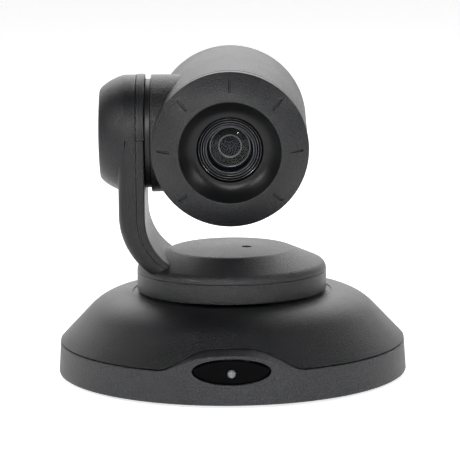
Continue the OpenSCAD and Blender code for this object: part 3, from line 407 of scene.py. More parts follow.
piece("base_rim_moulding", [(rim.reshape(-1, 3), wall_faces[keep].tolist()),
    grid(np.stack(outer_rings), wrap_columns=True), grid(np.stack(inner_rings), wrap_columns=True),
    grid(np.stack(tunnel), wrap_columns=True)], rim_plastic, "base", ["base_rim"])

# Infrared window: an oval plate of gloss black polycarbonate that lets infrared through, moulded
# with a polished face and held behind the brow's opening.
WINDOW_FACE_R = rim_radius(WINDOW[2]) - 1.2


def gloss_plastic(name, colour, roughness, specular=0.5):
    """Polished polycarbonate. The eye sees a near-black mirror gloss with a slight moulding ripple,
    about 6 mm long, in its reflections."""
    material, tree, place = new_material(name)
    ripple = add_node(tree, "ShaderNodeTexNoise", {"Vector": place, "Scale": 160.0, "Detail": 1.0})
    wave = add_node(tree, "ShaderNodeBump", {"Height": ripple.outputs["Fac"], "Strength": 0.15,
        "Distance": 0.1 * MM})
    return finish_material(material, tree, tones=(ripple.outputs["Fac"], colour, "#050506"),
        roughness=roughness, specular=specular, normal=wave.outputs["Normal"])


def oval_plate(a, b, centre_z, face_r, thickness, edge, columns=96):
    """Oval plate bent round the upright axis: rings shrink from its edge to its middle, front and back."""
    turn = np.linspace(0, 2 * np.pi, columns, endpoint=False)
    rings = []
    for grow, depth in [(-1, 0)] + [(-t, 0) for t in (0.75, 0.5, 0.25)] + [(0, 0), (1, 0.1), (2, 0.3)]:
        size = 1 + grow if grow <= 0 else 1.0
        inset = edge * (1 if grow <= 0 else (0.3 if grow == 1 else 0))
        rings.append(((a - inset) * size, (b - inset) * size, depth))
    rings += [(a, b, thickness), ((a) * 0.5, (b) * 0.5, thickness), (0, 0, thickness)]
    points = []
    for size_a, size_b, depth in rings:
        x = size_a * np.cos(turn)
        r = face_r - depth
        points.append(np.stack([x, -np.sqrt(r ** 2 - x ** 2), centre_z + size_b * np.sin(turn)], -1))
    return grid(np.stack(points), wrap_columns=True)


piece("infrared_window_plate", [oval_plate(WINDOW[0] - 0.15, WINDOW[1] - 0.15, WINDOW[2], WINDOW_FACE_R,
    1.8, 0.3)], gloss_plastic("polished_black_polycarbonate", "#010102", 0.05, 0.03), "base",
    ["infrared_window"])

# Status lamp: a milky acrylic light pipe behind the window, with a ball end that shows through it.
LAMP_R = 2.35
LAMP_Z = 19.7


def lathe(outline, columns=128, closed=True):
    """An outline of (radius, height) turned round the upright axis; a closed outline makes a ring, an
    open one starts and ends on the axis."""
    outline = np.asarray(outline, float)
    turn = np.linspace(0, 2 * np.pi, columns, endpoint=False)[:, None]
    points = np.stack([outline[None, :, 0] * np.cos(turn), outline[None, :, 0] * np.sin(turn),
        outline[None, :, 1] + 0 * turn], -1)
    return points, closed


def placed(turned, place):
    """A turned shape after its points have been moved by place."""
    points, closed = turned
    return grid(place(points), wrap_rows=True, wrap_columns=closed)


def milky_acrylic(name):
    """Moulded opal acrylic. The eye sees a soft grey-white ball with a little depth, unlit."""
    material, tree, place = new_material(name)
    cloud = add_node(tree, "ShaderNodeTexNoise", {"Vector": place, "Scale": 600.0})
    return finish_material(material, tree, tones=(cloud.outputs["Fac"], "#515255", "#737477"),
        roughness=0.2, scatter=0.3, scatter_scale=1 * MM)


def facing_front(at_y, at_z):
    """Moves a turned shape so that its axis points forward from a height."""
    return lambda p: np.stack([p[..., 0], at_y - p[..., 2], at_z + p[..., 1]], -1)


ball = np.radians(np.linspace(0, 90, 13))
lamp_outline = [[0, -7.5], [LAMP_R, -7.5]] + [[LAMP_R * np.cos(a), LAMP_R * np.sin(a)] for a in ball]
lamp_outline[-1][0] = 0
piece("status_lamp_pipe", [placed(lathe(lamp_outline, 48, False), facing_front(-WINDOW_FACE_R, LAMP_Z))],
    milky_acrylic("moulded_opal_acrylic"), "base", ["status_lamp"])

# Base dome: the satin black ABS cover of the base, injection moulded, clipped over the rim's lip.
# Its lower edge follows the brow's ledge, and its top ring has a shallow reveal round the turret.
SEAM_GAP = 0.5
DOME_WALL = 2.4
ledge_z = top_z + slope_here * ledge_in
edge_xy = rim_point(0 * sin_a, top_z)[:, :2] + inward * ledge_in[:, None]
edge_z = np.where(in_notch, BAY_TOP, np.maximum(ledge_z, SEAM_Z) + SEAM_GAP)
edge_turn = np.arctan2(edge_xy[:, 0], -edge_xy[:, 1])
edge_r = np.where(in_notch, dome_radius(BAY_TOP), np.minimum(rim_radius(SEAM_Z), dome_radius(edge_z)))
notch_turn = np.sign(angles) * (np.pi - np.arcsin(np.clip(FOOT_R * np.abs(sin_a) / edge_r, 0, 1)))
edge_turn = np.where(near_notch >= 1, notch_turn, edge_turn)
arc = np.linspace(dome_slope, 0, 13)
slope_r = RING_R + DOME_FILLET * np.sin(dome_slope)
slope_z = BASE_TOP - DOME_FILLET + DOME_FILLET * np.cos(dome_slope)


def dome_row(r, z):
    """A row of the dome: one point on each column at radius r and height z."""
    return np.stack([r * np.sin(edge_turn), -r * np.cos(edge_turn), z + 0 * edge_turn], -1)


rows = [dome_row(edge_r - WALL + 0.4, edge_z + slope_here * WALL), dome_row(edge_r - 0.5, edge_z),
    dome_row(edge_r - 0.12, edge_z + 0.1)]
start_z = np.maximum(edge_z + 0.45, np.where(edge_r < rim_radius(SEAM_Z) - 0.3, edge_z + 0.45, SEAM_Z + 0.55))
start_r = np.minimum(edge_r, dome_radius(start_z))
for v in np.linspace(0, 1, 13):
    rows.append(dome_row(start_r + (slope_r - start_r) * v, start_z + (slope_z - start_z) * v))
for a in arc[1:]:
    rows.append(dome_row(RING_R + DOME_FILLET * np.sin(a), BASE_TOP - DOME_FILLET + DOME_FILLET * np.cos(a)))
REVEAL_R = 57.55
REVEAL_DEPTH = 0.6
OPENING_R = 34.0
TOP_THICKNESS = 3.0
for r, z in (((RING_R + REVEAL_R) / 2, BASE_TOP), (REVEAL_R + 0.35, BASE_TOP),
        (REVEAL_R + 0.1, BASE_TOP - 0.1), (REVEAL_R, BASE_TOP - 0.35), (REVEAL_R, BASE_TOP - REVEAL_DEPTH),
        (OPENING_R, BASE_TOP - REVEAL_DEPTH), (OPENING_R, BASE_TOP - TOP_THICKNESS),
        (RING_R - 2, BASE_TOP - TOP_THICKNESS)):
    rows.append(dome_row(r, z))
inside = DOME_FILLET - DOME_WALL
for a in arc[::-1]:
    rows.append(dome_row(RING_R + inside * np.sin(a), BASE_TOP - DOME_FILLET + inside * np.cos(a)))
dome_plastic = moulded_plastic("satin_moulded_abs_dome", "#050506", "#1c1d20", 0.38, 0.7, 0.12, 0.34)
piece("base_dome_moulding", [grid(np.stack(rows), True, True)], dome_plastic, "base", ["base_dome"])

# Turret: the turning housing, a round satin black ABS skirt with a sloping cover pressed on top.
# A thin bevel line shows where the two meet.
TURRET_R = 54.85
TURRET_Z = 49.8
BAND_TOP = 60.9
TURRET_TOP = 73.4
DISC_R = 34.8
COVER_EDGE_RISE = 3.4
HOUSING_WALL = 2.4


def rounded(corners, radii, steps=5):
    """An outline whose corners are rounded: each corner's arc is a quadratic curve between points at its
    radius from the corner along both sides."""
    corners = np.array(corners, float)
    out = []
    for i, (corner, radius) in enumerate(zip(corners, radii)):
        if radius == 0:
            out.append(corner[None])
            continue
        to_last = corners[i - 1] - corner
        to_next = corners[(i + 1) % len(corners)] - corner
        s = np.linspace(0, 1, steps + 1)[:, None]
        out.append(corner + to_last / np.linalg.norm(to_last) * radius * (1 - s) ** 2 + to_next
            / np.linalg.norm(to_next) * radius * s ** 2)
    return np.concatenate(out)


turret_plastic = moulded_plastic("satin_moulded_abs_turret", "#070708", "#27282b", 0.38, 0.8, 0.22, 0.42)
skirt = rounded([[30, TURRET_Z], [TURRET_R, TURRET_Z], [TURRET_R, BAND_TOP],
    [TURRET_R - HOUSING_WALL, BAND_TOP], [TURRET_R - HOUSING_WALL, TURRET_Z + 2.5], [30, TURRET_Z + 2.5]],
    [0, 0.5, 0.4, 0, 0, 0])
piece("turret_skirt_moulding", [placed(lathe(skirt, 192), lambda p: p)], turret_plastic, "turret",
    ["turret_skirt"])

cover_slope = np.arctan2(TURRET_TOP - BAND_TOP - COVER_EDGE_RISE, TURRET_R - DISC_R)
cover_fillet = COVER_EDGE_RISE / np.tan((np.pi / 2 - cover_slope) / 2)
edge = np.linspace(0, np.pi / 2 - cover_slope, 12)
SCREW = (8.8, 1.6)
cover = [[TURRET_R - 0.45, BAND_TOP + 0.02], [TURRET_R - 0.12, BAND_TOP + 0.12]]
cover += [[TURRET_R - cover_fillet + cover_fillet * np.cos(a), BAND_TOP + 0.35 + cover_fillet * np.sin(a)]
    for a in edge]
knee = np.array([DISC_R, TURRET_TOP])
down = np.array([np.cos(cover_slope), -np.sin(cover_slope)])
bend = np.linspace(0, 1, 7)[:, None]
cover += (knee + down * 1.6 * (1 - bend) ** 2 + np.array([-1.6, 0]) * bend ** 2).tolist()
outline = np.array(cover)
columns = 192
turn = np.linspace(0, 2 * np.pi, columns, endpoint=False)
rows = [np.stack([r * np.cos(turn), r * np.sin(turn), z + 0 * turn], -1) for r, z in outline]
rim_r = outline[-1, 0]
HOLE_R = 2.9
for t in np.linspace(0, 1, 8)[1:]:
    grow = (1 - t) ** 1.4
    r = HOLE_R + 0.25 + (rim_r - HOLE_R - 0.25) * grow
    rows.append(np.stack([SCREW[0] * (1 - grow) + r * np.cos(turn),
        SCREW[1] * (1 - grow) + r * np.sin(turn), TURRET_TOP + 0 * turn], -1))
for r, z in ((HOLE_R + 0.05, -0.08), (HOLE_R, -0.25), (HOLE_R, -2.2), (0, -2.2)):
    rows.append(np.stack([SCREW[0] + r * np.cos(turn), SCREW[1] + r * np.sin(turn),
        TURRET_TOP + z + 0 * turn], -1))
under_rows = [np.stack([r * np.cos(turn), r * np.sin(turn), z + 0 * turn], -1) for r,
    z in ((0, TURRET_TOP - 4.5), (DISC_R, TURRET_TOP - 4.5), (TURRET_R - 3, BAND_TOP + 0.4),
    (TURRET_R - HOUSING_WALL, BAND_TOP + 0.02))]
piece("turret_cover_moulding", [grid(np.stack(rows + under_rows), wrap_rows=True, wrap_columns=True)],
    turret_plastic, "turret", ["turret_cover"])

# Arm: one hollow ABS arm on the left carries the head. Its outer shell is a channel with rounded
# corners that curves down into the turret; the inner cover closes it on the head's side.
AXIS_Z = 140.7
ARM_X, ARM_Z, ARM_R = -22.4, 97.1, 41.6
SEAM_X, SEAM_CX, SEAM_CZ, SEAM_R = -53.6, -17.6, 96.5, 36.0
INNER_X, INNER_CX, INNER_CZ, INNER_R = -48.8, -16.8, 95.2, 32.0
OUTER_X = -64.0
CAP_X = -60.0
HUB_R = 33.8
ARM_CORNER = 6.5
ARM_SWEEP = np.radians(65)
SEAM_HALF_GAP = 0.12
COLLAR_LIFT = 0.45


def depth_of(phi, cx, cz, radius):
    """Depth under the arm's outer face, along the arc's own radius at phi, of another arc's surface."""
    dx, dz = -np.cos(phi), -np.sin(phi)
    ox, oz = ARM_X - cx, ARM_Z - cz
    b = ox * dx + oz * dz
    return ARM_R - (-b + np.sqrt(np.maximum(b * b - (ox * ox + oz * oz - radius ** 2), 0)))


def channel(half, back, front, corner, steps=6):
    """The channel's outline as (depth, y) pairs: up one side from back, round two corners, down the other."""
    a = np.radians(np.linspace(0, 90, steps + 1))
    d1 = front + corner * (1 - np.sin(a))
    y1 = -half + corner * (1 - np.cos(a))
    side = np.linspace(0, 1, 4)[:, None]
    first_side = np.concatenate([back + (front + corner - back) * side[:-1], -half + 0 * side[:-1]], 1)
    first_turn = np.stack([d1, y1], -1)
    face = np.linspace(-half + corner, half - corner, 15)[1:-1]
    middle = np.stack([front + 0 * face, face], -1)
    last_turn = np.stack([d1[::-1], -y1[::-1]], -1)
    last_side = first_side[::-1] * [1, -1]
    return np.concatenate([first_side, first_turn, middle, last_turn, last_side])


def arm_place(section_at, stations):
    """Carries a section along the arm. Stations run from the tilt axis (0) down the straight part (1)
    and round the arc (to 2); a section's depth is measured inwards from the outer face."""
    rows = []
    for v in stations:
        phi = max(v - 1, 0) * ARM_SWEEP
        section, top = section_at(phi, v)
        d, y = section[:, 0], section[:, 1]
        if v <= 1:
            rows.append(np.stack([OUTER_X + d, y, top + (ARM_Z - top) * v], -1))
        else:
            rows.append(np.stack([ARM_X - (ARM_R - d) * np.cos(phi), y, ARM_Z - (ARM_R - d) * np.sin(phi)],
                -1))
    return np.stack(rows)


def outer_section(phi, v):
    """The outer shell's channel, from the seam, with its wall: outside points, then inside points back.
    Outside the cap's seat its top is cut to the hub's circle."""
    back = SEAM_X - OUTER_X if v <= 1 else depth_of(phi, SEAM_CX, SEAM_CZ, SEAM_R)
    back -= SEAM_HALF_GAP
    outside = channel(HUB_R, back, 0.0, ARM_CORNER)
    inside = channel(HUB_R - HOUSING_WALL, back, HOUSING_WALL, ARM_CORNER - HOUSING_WALL)[::-1]
    section = np.concatenate([outside, inside])
    cut = AXIS_Z - np.sqrt(np.maximum(HUB_R ** 2 - section[:, 1] ** 2, 0))
    top = np.where(section[:, 0] < CAP_X - OUTER_X - 0.01, cut, AXIS_Z)
    return section, top


def inner_section(phi, v):
    """The inner cover's channel, from the seam to the head's side, as thick as the shell's wall."""
    straight_part = v <= 1
    back = (SEAM_X - OUTER_X if straight_part else depth_of(phi, SEAM_CX, SEAM_CZ, SEAM_R)) + SEAM_HALF_GAP
    front = INNER_X - OUTER_X if straight_part else depth_of(phi, INNER_CX, INNER_CZ, INNER_R)
    d = front - (channel(HUB_R, front - back, 0.0, 1.0)[:, 0])
    outside = np.stack([d, channel(HUB_R, front - back, 0.0, 1.0)[:, 1]], -1)
    inner = channel(HUB_R - 2.0, front - back, 2.0, 0.5)
    inside = np.stack([front - inner[:, 0], inner[:, 1]], -1)[::-1]
    section = np.concatenate([outside, inside])
    return section, AXIS_Z + 0 * section[:, 0]


def capped_sweep(rows):
    """A swept closed section with both ends closed: the end quads join outside to inside points."""
    count, n = rows.shape[:2]
    verts, faces = grid(rows, wrap_columns=True)
    m = n // 2
    ends = []
    for base in (0, (count - 1) * n):
        ends += [[base + i, base + i + 1, base + n - 2 - i, base + n - 1 - i] for i in range(m - 1)]
    return verts, faces + ends


def half_hub(x0, x1, radius, inner, edge0=0.0, edge1=0.0, columns=64):
    """The upper half of a ring round the tilt axis, from x0 to x1, ends closed."""
    outline = rounded([[x0, inner], [x0, radius], [x1, radius], [x1, inner]], [0, edge0, edge1, 0], 4)
    turn = np.linspace(0, np.pi, columns + 1)[:, None]
    points = np.stack([outline[None, :, 0] + 0 * turn, outline[None, :, 1] * np.cos(turn),
        AXIS_Z + outline[None, :, 1] * np.sin(turn)], -1)
    verts, faces = grid(points, wrap_columns=True)
    n = len(outline)
    return verts, faces + [list(range(n)), list(range(columns * n, (columns + 1) * n))[::-1]]


stations = np.concatenate([np.linspace(0, 1, 11), np.linspace(1, 2, 37)[1:]])
arm_plastic = moulded_plastic("satin_moulded_abs_arm", "#050506", "#1c1d20", 0.34, 0.7, 0.12, 0.3)
piece("arm_outer_moulding", [capped_sweep(arm_place(outer_section, stations)),
    half_hub(CAP_X, SEAM_X - SEAM_HALF_GAP, HUB_R, HUB_R - HOUSING_WALL, 0, 0.25)], arm_plastic, "turret",
    ["arm_outer_shell"])
piece("arm_inner_moulding", [capped_sweep(arm_place(inner_section, stations))], arm_plastic, "turret",
    ["arm_inner_cover"])

# Hub: a collar closes the arm's top half on the head's side, and a domed cap covers the tilt drive.
# Both are satin black ABS and snap on.
collar_flat = rounded([[SEAM_X + SEAM_HALF_GAP, HUB_R - 2], [SEAM_X + SEAM_HALF_GAP, HUB_R],
    [INNER_X, HUB_R], [INNER_X, 7.5], [INNER_X - 2, 7.5], [INNER_X - 2, HUB_R - 2]],
    [0, 0.25, 0.5, 0, 0, 0], 4)
turn = np.linspace(0, np.pi, 65)[:, None]
collar_points = np.stack([collar_flat[None, :, 0] + 0 * turn, collar_flat[None, :, 1] * np.cos(turn),
    AXIS_Z + COLLAR_LIFT + collar_flat[None, :, 1] * np.sin(turn)], -1)
verts, faces = grid(collar_points, wrap_columns=True)
n = len(collar_flat)
faces += [list(range(n)), list(range(64 * n, 65 * n))[::-1]]
piece("hub_collar_moulding", [(verts, faces)], arm_plastic, "turret", ["hub_collar"])


def facing_left(at_x):
    """Moves a turned shape so that its axis points to the arm's side from the tilt axis."""
    return lambda p: np.stack([at_x - p[..., 2], p[..., 0], AXIS_Z + p[..., 1]], -1)


CAP_DEPTH = 16.0
CAP_BULGE = 1.1
CAP_CHAMFER = 8.7
CAP_FACE_R = HUB_R - CAP_CHAMFER
CAP_FLATNESS = 1.45
quarter = np.radians(np.linspace(0, 90, 17))
shoulder = np.stack([CAP_FACE_R + CAP_CHAMFER * np.abs(np.cos(quarter)) ** CAP_FLATNESS,
    (CAP_DEPTH - CAP_BULGE) * np.sin(quarter) ** CAP_FLATNESS], -1)
face_u = np.linspace(1, 0, 13)[1:]
face = np.stack([CAP_FACE_R * face_u, CAP_DEPTH - CAP_BULGE * face_u ** 2], -1)
inside = np.stack([np.array([0, CAP_FACE_R - HOUSING_WALL, HUB_R - 4.0, HUB_R - HOUSING_WALL]),
    np.array([13.0, 12.3, 3.0, 0])], -1)
cap_outline = np.concatenate([shoulder, face, inside])
piece("hub_cap_moulding", [placed(lathe(cap_outline, 128), facing_left(CAP_X))], arm_plastic, "turret",
    ["hub_cap"])

# Seal ring: a moulded black rubber lip that fills the gap between the hub and the head.


def moulded_rubber(name, roughness):
    """Moulded nitrile rubber. The eye sees a dull black with a dusty bloom and a fine matt grain."""
    material, tree, place = new_material(name)
    grain = add_node(tree, "ShaderNodeTexNoise", {"Vector": place, "Scale": 1800.0, "Detail": 2.0})
    bloom = add_node(tree, "ShaderNodeTexNoise", {"Vector": place, "Scale": 60.0})
    bump = add_node(tree, "ShaderNodeBump", {"Height": grain.outputs["Fac"], "Strength": 0.5,
        "Distance": 0.04 * MM})
    return finish_material(material, tree, tones=(bloom.outputs["Fac"], "#0e0e0f", "#1b1b1c"),
        roughness=roughness, specular=0.35, normal=bump.outputs["Normal"])


SEAL_X = -45.4
rubber = moulded_rubber("moulded_nitrile_rubber", 0.78)
seal = rounded([[HUB_R - 6, 0.1], [HUB_R - 2.5, 0.1], [HUB_R - 2.5, 3.2], [HUB_R - 6, 3.2]], [0, 0.4, 0.4, 0])
piece("tilt_seal_moulding", [placed(lathe(seal, 96), facing_left(SEAL_X))],
    moulded_rubber("waxed_nitrile_seal", 0.42), "head", ["tilt_seal_ring"])

# Head: the camera's barrel with the tilt boss on its side, a domed rear cap and a conical bezel.
# All three are black ABS with a fine texture; the bezel has seven short grooves like a clock's marks.
BARREL_R = 44.2
BARREL_FRONT, BARREL_REAR = 39.2, -36.2
BOSS_X = SEAL_X
REST_TILT = np.radians(4.5)


def in_head(p):
    """Head coordinates (across, up, forward) moved to the tilt axis and tipped 4.5 degrees nose down."""
    y, z = -p[..., 2], p[..., 1]
    return np.stack([p[..., 0], y * np.cos(REST_TILT) - z * np.sin(REST_TILT),
        AXIS_Z + y * np.sin(REST_TILT) + z * np.cos(REST_TILT)], -1)


barrel = rounded([[BARREL_R, BARREL_REAR + 0.1], [BARREL_R, BARREL_FRONT - 0.15],
    [BARREL_R - HOUSING_WALL, BARREL_FRONT - 0.15], [BARREL_R - HOUSING_WALL, BARREL_REAR + 0.1]],
    [0.35, 0.3, 0, 0])
boss_turn = np.linspace(0, 2 * np.pi, 129)[:-1]
boss_rows = []
for r, t in ((7.5, 0), (HUB_R - 0.7, 0), (HUB_R - 0.25, 0.08), (HUB_R - 0.06, 0.3), (HUB_R, 0.8),
        (HUB_R, 0), (HUB_R, 0.5), (HUB_R, 1), (HUB_R - HOUSING_WALL, 1), (7.5, 4)):
    y, z = r * np.cos(boss_turn), r * np.sin(boss_turn)
    reach = -np.sqrt(BARREL_R ** 2 - np.minimum(z ** 2, BARREL_R ** 2)) + 1.6
    if len(boss_rows) < 5:
        x = BOSS_X + t + 0 * y
    elif len(boss_rows) < 8:
        x = (BOSS_X + 0.8) * (1 - t) + reach * t
    else:
        x = reach if r > 8 else BOSS_X + t + 0 * y
    boss_rows.append(in_head(np.stack([x, z, -y], -1)))
head_plastic = moulded_plastic("textured_moulded_abs_head", "#070708", "#27282b", 0.38, 0.8, 0.16, 0.34)
piece("head_barrel_moulding", [placed(lathe(barrel, 192), in_head), grid(np.stack(boss_rows), True, True)],
    head_plastic, "head", ["head_barrel"])

rear_a = np.radians(np.linspace(0, 90, 25))
rear_outer = np.stack([(BARREL_R - 0.5) * np.cos(rear_a) ** 0.55, BARREL_REAR - 7.0 * np.sin(rear_a)], -1)
rear_outer[-1, 0] = 0
rear_inner = np.stack([(BARREL_R - 2.9) * np.cos(rear_a) ** 0.55, BARREL_REAR - 4.6 * np.sin(rear_a)],
    -1)[::-1]
rear_inner[0, 0] = 0
piece("rear_cap_moulding", [placed(lathe(np.concatenate([rear_outer, rear_inner]), 160), in_head)],
    head_plastic, "head", ["rear_cap"])

BEZEL_R, BEZEL_EDGE, BEZEL_RISE, LIP_R = 44.6, 45.9, 8.6, 29.5
LIP_S = BEZEL_EDGE + BEZEL_RISE


def bezel_height(r):
    """The bezel's face from its widest edge to its lip: 0.6 of a quarter sine and 0.4 of a straight rise."""
    u = np.clip((BEZEL_R - r) / (BEZEL_R - LIP_R), 0, 1)
    return BEZEL_EDGE + BEZEL_RISE * (0.6 * np.sin(np.pi / 2 * u) + 0.4 * u)


face_r = np.linspace(BEZEL_R - 0.25, LIP_R, 60)
bezel = np.concatenate([[[BARREL_R - 0.35, BARREL_FRONT + 0.15], [BARREL_R - 0.08, BARREL_FRONT + 0.3]],
    np.stack([np.linspace(BARREL_R - 0.02, BEZEL_R, 8),
    np.linspace(BARREL_FRONT + 0.6, BEZEL_EDGE - 0.25, 8)], -1), [[BEZEL_R - 0.05, BEZEL_EDGE - 0.02]],
    np.stack([face_r, bezel_height(face_r)], -1),
    [[LIP_R - 0.3, LIP_S - 0.02], [LIP_R - 0.55, LIP_S - 0.15], [LIP_R - 0.7, LIP_S - 0.5],
    [LIP_R - 0.7, LIP_S - 4.5], [BEZEL_R - 6, BEZEL_EDGE - 1],
    [BARREL_R - HOUSING_WALL, BARREL_FRONT + 0.15]]])
GROOVES = np.radians([90, 45, 0, -45, 225, 180, 135])
GROOVE_R, GROOVE_HALF_LENGTH, GROOVE_HALF_WIDTH, GROOVE_DEPTH = 37.6, 3.5, 0.6, 0.9
near = np.radians(np.linspace(-1.6, 1.6, 17))
turn = np.concatenate([np.linspace(0, 2 * np.pi, 180, endpoint=False),
    (GROOVES[:, None] + near[None]).ravel()])
turn = np.unique(np.round(np.mod(turn, 2 * np.pi), 5))
r, s = bezel[None, :, 0], bezel[None, :, 1]
off = np.mod(turn[:, None] - GROOVES[None] + np.pi, 2 * np.pi) - np.pi
across = np.abs(off).min(1)[:, None] * r
along = np.abs(r - GROOVE_R)
reach = np.hypot(across, np.maximum(along - (GROOVE_HALF_LENGTH - GROOVE_HALF_WIDTH), 0)) / GROOVE_HALF_WIDTH
sunk = GROOVE_DEPTH * smooth_step((1.2 - reach) / 0.45) * (s > BEZEL_EDGE + 0.05)
points = np.stack([r * np.cos(turn[:, None]), r * np.sin(turn[:, None]), s - sunk + 0 * turn[:, None]], -1)
piece("front_bezel_moulding", [grid(in_head(points), True, True)], head_plastic, "head", ["front_bezel"],
    40)

# Lens: a dished surround, the lens tube with its baffle grooves, a dark retaining ring and the coated
# front glass. The tube is nearly matt, so that no stray light reaches the glass.
SURROUND_S = LIP_S - 8
TUBE_FRONT = SURROUND_S - 0.6
TUBE_R = 18.5
GLASS_R = 13.5
DISH_R, DISH_HOLE_R = 28.7, 19.2
TUBE_BACK = -7.9
dish_u = np.linspace(0, 1, 16)
dish = np.stack([DISH_R + (DISH_HOLE_R - DISH_R) * dish_u,
    LIP_S - 0.5 + (SURROUND_S - LIP_S + 0.5) * np.sin(np.pi / 2 * dish_u)], -1)
surround = np.concatenate([dish, [[18.95, SURROUND_S + 0.02], [18.75, SURROUND_S - 0.2],
    [18.7, SURROUND_S - 2]], dish[::-1] - [0, 2.2]])
lens_plastic = moulded_plastic("satin_moulded_abs_lens", "#040405", "#101112", 0.36, 0.5, 0.03, 0.24)
tube_plastic = moulded_plastic("matt_moulded_abs_tube", "#020203", "#0b0b0c", 0.42, 0.5, 0.03, 0.1)
piece("lens_surround_moulding", [placed(lathe(surround, 160), in_head)], lens_plastic, "head",
    ["lens_surround"])

groove_r = np.linspace(TUBE_R - 0.3, GLASS_R + 1.0, 49)
groove_s = TUBE_FRONT - 0.15 - 0.6 * np.abs((np.arange(49) % 8) / 4 - 1) - 1.0 * (TUBE_R - groove_r) / 4
tube = np.concatenate([[[TUBE_R, TUBE_BACK], [TUBE_R, TUBE_FRONT - 0.3],
    [TUBE_R - 0.1, TUBE_FRONT - 0.05]], np.stack([groove_r, groove_s], -1),
    [[GLASS_R + 1, TUBE_FRONT - 3], [GLASS_R, TUBE_FRONT - 3], [GLASS_R, TUBE_FRONT - 8],
    [GLASS_R - 1, TUBE_FRONT - 8], [GLASS_R - 1, TUBE_FRONT - 10], [TUBE_R - 2, TUBE_FRONT - 10],
    [TUBE_R - 2, TUBE_BACK]]])
piece("lens_tube_moulding", [placed(lathe(tube, 144), in_head)], tube_plastic, "head", ["lens_barrel"],
    20)


def anodised(name, colour, roughness):
    """Turned and anodised aluminium. The eye sees a metal ring with bright thin edges and a faint mottle."""
    material, tree, place = new_material(name)
    lines = add_node(tree, "ShaderNodeTexNoise", {"Vector": place, "Scale": 900.0, "Detail": 3.0})
    return finish_material(material, tree, tones=(lines.outputs["Fac"], colour, "#1d1e20"), metallic=0.8,
        roughness=roughness)


ring = rounded([[GLASS_R + 0.95, TUBE_FRONT - 2.9], [GLASS_R + 0.95, TUBE_FRONT - 0.6],
    [GLASS_R - 0.3, TUBE_FRONT - 0.6], [GLASS_R - 0.75, TUBE_FRONT - 1.6],
    [GLASS_R - 0.75, TUBE_FRONT - 2.9]], [0, 0.25, 0.25, 0.1, 0])
piece("lens_front_ring_turned", [placed(lathe(ring, 128), in_head)],
    anodised("turned_anodised_aluminium", "#0e0f10", 0.4), "head", ["lens_front_ring"])


def coated_glass(name, tint, clearness):
    """Polished optical glass with a vacuum coating. The eye looks through it: the coating cancels most of
    its reflection and leaves weak, sharp highlights, so it is drawn mostly clear over a faint blue."""
    material, tree, place = new_material(name)
    wipe = add_node(tree, "ShaderNodeTexNoise", {"Vector": place, "Scale": 90.0})
    return finish_material(material, tree, tones=(wipe.outputs["Fac"], tint, "#05070a"), roughness=0.02,
        ior=1.52, alpha=1 - clearness)


def glass_outline(radius, back, thickness, front_sag, back_sag, steps=12):
    """A lens element's outline: both faces are parabolas that bulge forward by their own sags."""
    u = np.linspace(0, 1, steps + 1)
    front = np.stack([radius * u, back + thickness + front_sag * (1 - u * u)], -1)
    rear = np.stack([radius * u, back + back_sag * (1 - u * u)], -1)[::-1]
    return np.concatenate([front, rear])


glass = coated_glass("coated_optical_glass", "#0c1420", 0.8)
piece("front_element_glass", [placed(lathe(glass_outline(GLASS_R - 0.05, TUBE_FRONT - 8, 4, 2.4, 1.2), 96,
    False), in_head)], glass, "head", ["front_element"])

# Lens groups and iris, seen through the front glass: black carriers that slide and hold coated
# elements, and in front of them a fixed second element, a pupil element and thin turned rings.


def dark_element(name, colour, tint, ior):
    """Coated element over a dark interior. The eye sees a near-black disc with a tinted mirror gloss; a
    coloured base tone, such as olive, is painted coating reflection.
    """
    material, tree, place = new_material(name)
    haze = add_node(tree, "ShaderNodeTexNoise", {"Vector": place, "Scale": 200.0})
    return finish_material(material, tree, tones=(haze.outputs["Fac"], colour, "#020305"), roughness=0.14,
        ior=ior, tint=linear(tint))


def repaint(node, *materials):
    """Gives a carried-over CAD node its materials, slot by slot; the last one fills any slots left."""
    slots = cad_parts[node].data.materials
    if not slots:
        slots.append(materials[0])
    for i in range(len(slots)):
        slots[i] = materials[min(i, len(materials) - 1)]


navy = dark_element("blue_coated_element", "#04060c", "#dfe8ff", 1.36)
# The olive element's yellow-green gloss tint is the coating's own reflection colour. Its olive base colour is
# painted coating reflection, so the whole ring shows olive wherever it is lit.
painted_olive_reflection_element = dark_element("coated_element_painted_olive_reflection", "#262e10", "#c9e04a", 1.5)
ZOOM_BACK, ZOOM_FRONT, ZOOM_HOLE_R = 17.0, 25.0, 10.0
carrier = rounded([[TUBE_R - 2.2, ZOOM_BACK], [TUBE_R - 2.2, ZOOM_FRONT], [11.2, ZOOM_FRONT],
    [ZOOM_HOLE_R, ZOOM_FRONT - 1.6], [ZOOM_HOLE_R, ZOOM_BACK]], [0, 0.4, 0.5, 0.2, 0])
piece("zoom_carrier_turned", [placed(lathe(carrier, 96), in_head)], tube_plastic, "zoom_group", [])
piece("zoom_element_glass", [placed(lathe(glass_outline(10.1, 19, 4, 1.6, -0.6), 72, False), in_head)],
    navy, "zoom_group", ["zoom_lens_group"])
repaint("focus_lens_group", lens_plastic, painted_olive_reflection_element)
repaint("iris_ring", lens_plastic)
SECOND_S, SECOND_R, RIDGE_R, PUPIL_R = 33.5, 11.2, 9.2, 6.2
ring_r = np.linspace(PUPIL_R, SECOND_R, 21)
ring_s = SECOND_S + 5.2 * (1 - (np.minimum(ring_r, RIDGE_R) / RIDGE_R) ** 2) + 1.6 * np.maximum(ring_r
    - RIDGE_R, 0)
second = np.concatenate([np.stack([ring_r, ring_s], -1), [[SECOND_R, SECOND_S - 1], [PUPIL_R, SECOND_S - 1]]])
piece("second_element_glass", [placed(lathe(second, 96), in_head)], painted_olive_reflection_element, "head", [])
piece("pupil_element_glass", [placed(lathe(glass_outline(PUPIL_R, SECOND_S - 1, 1.5, 4.4, 0), 72, False),
    in_head)], navy, "head", [])
bright = anodised("bright_anodised_aluminium", "#a0a1a5", 0.3)
black_ring = anodised("black_anodised_aluminium", "#101112", 0.35)
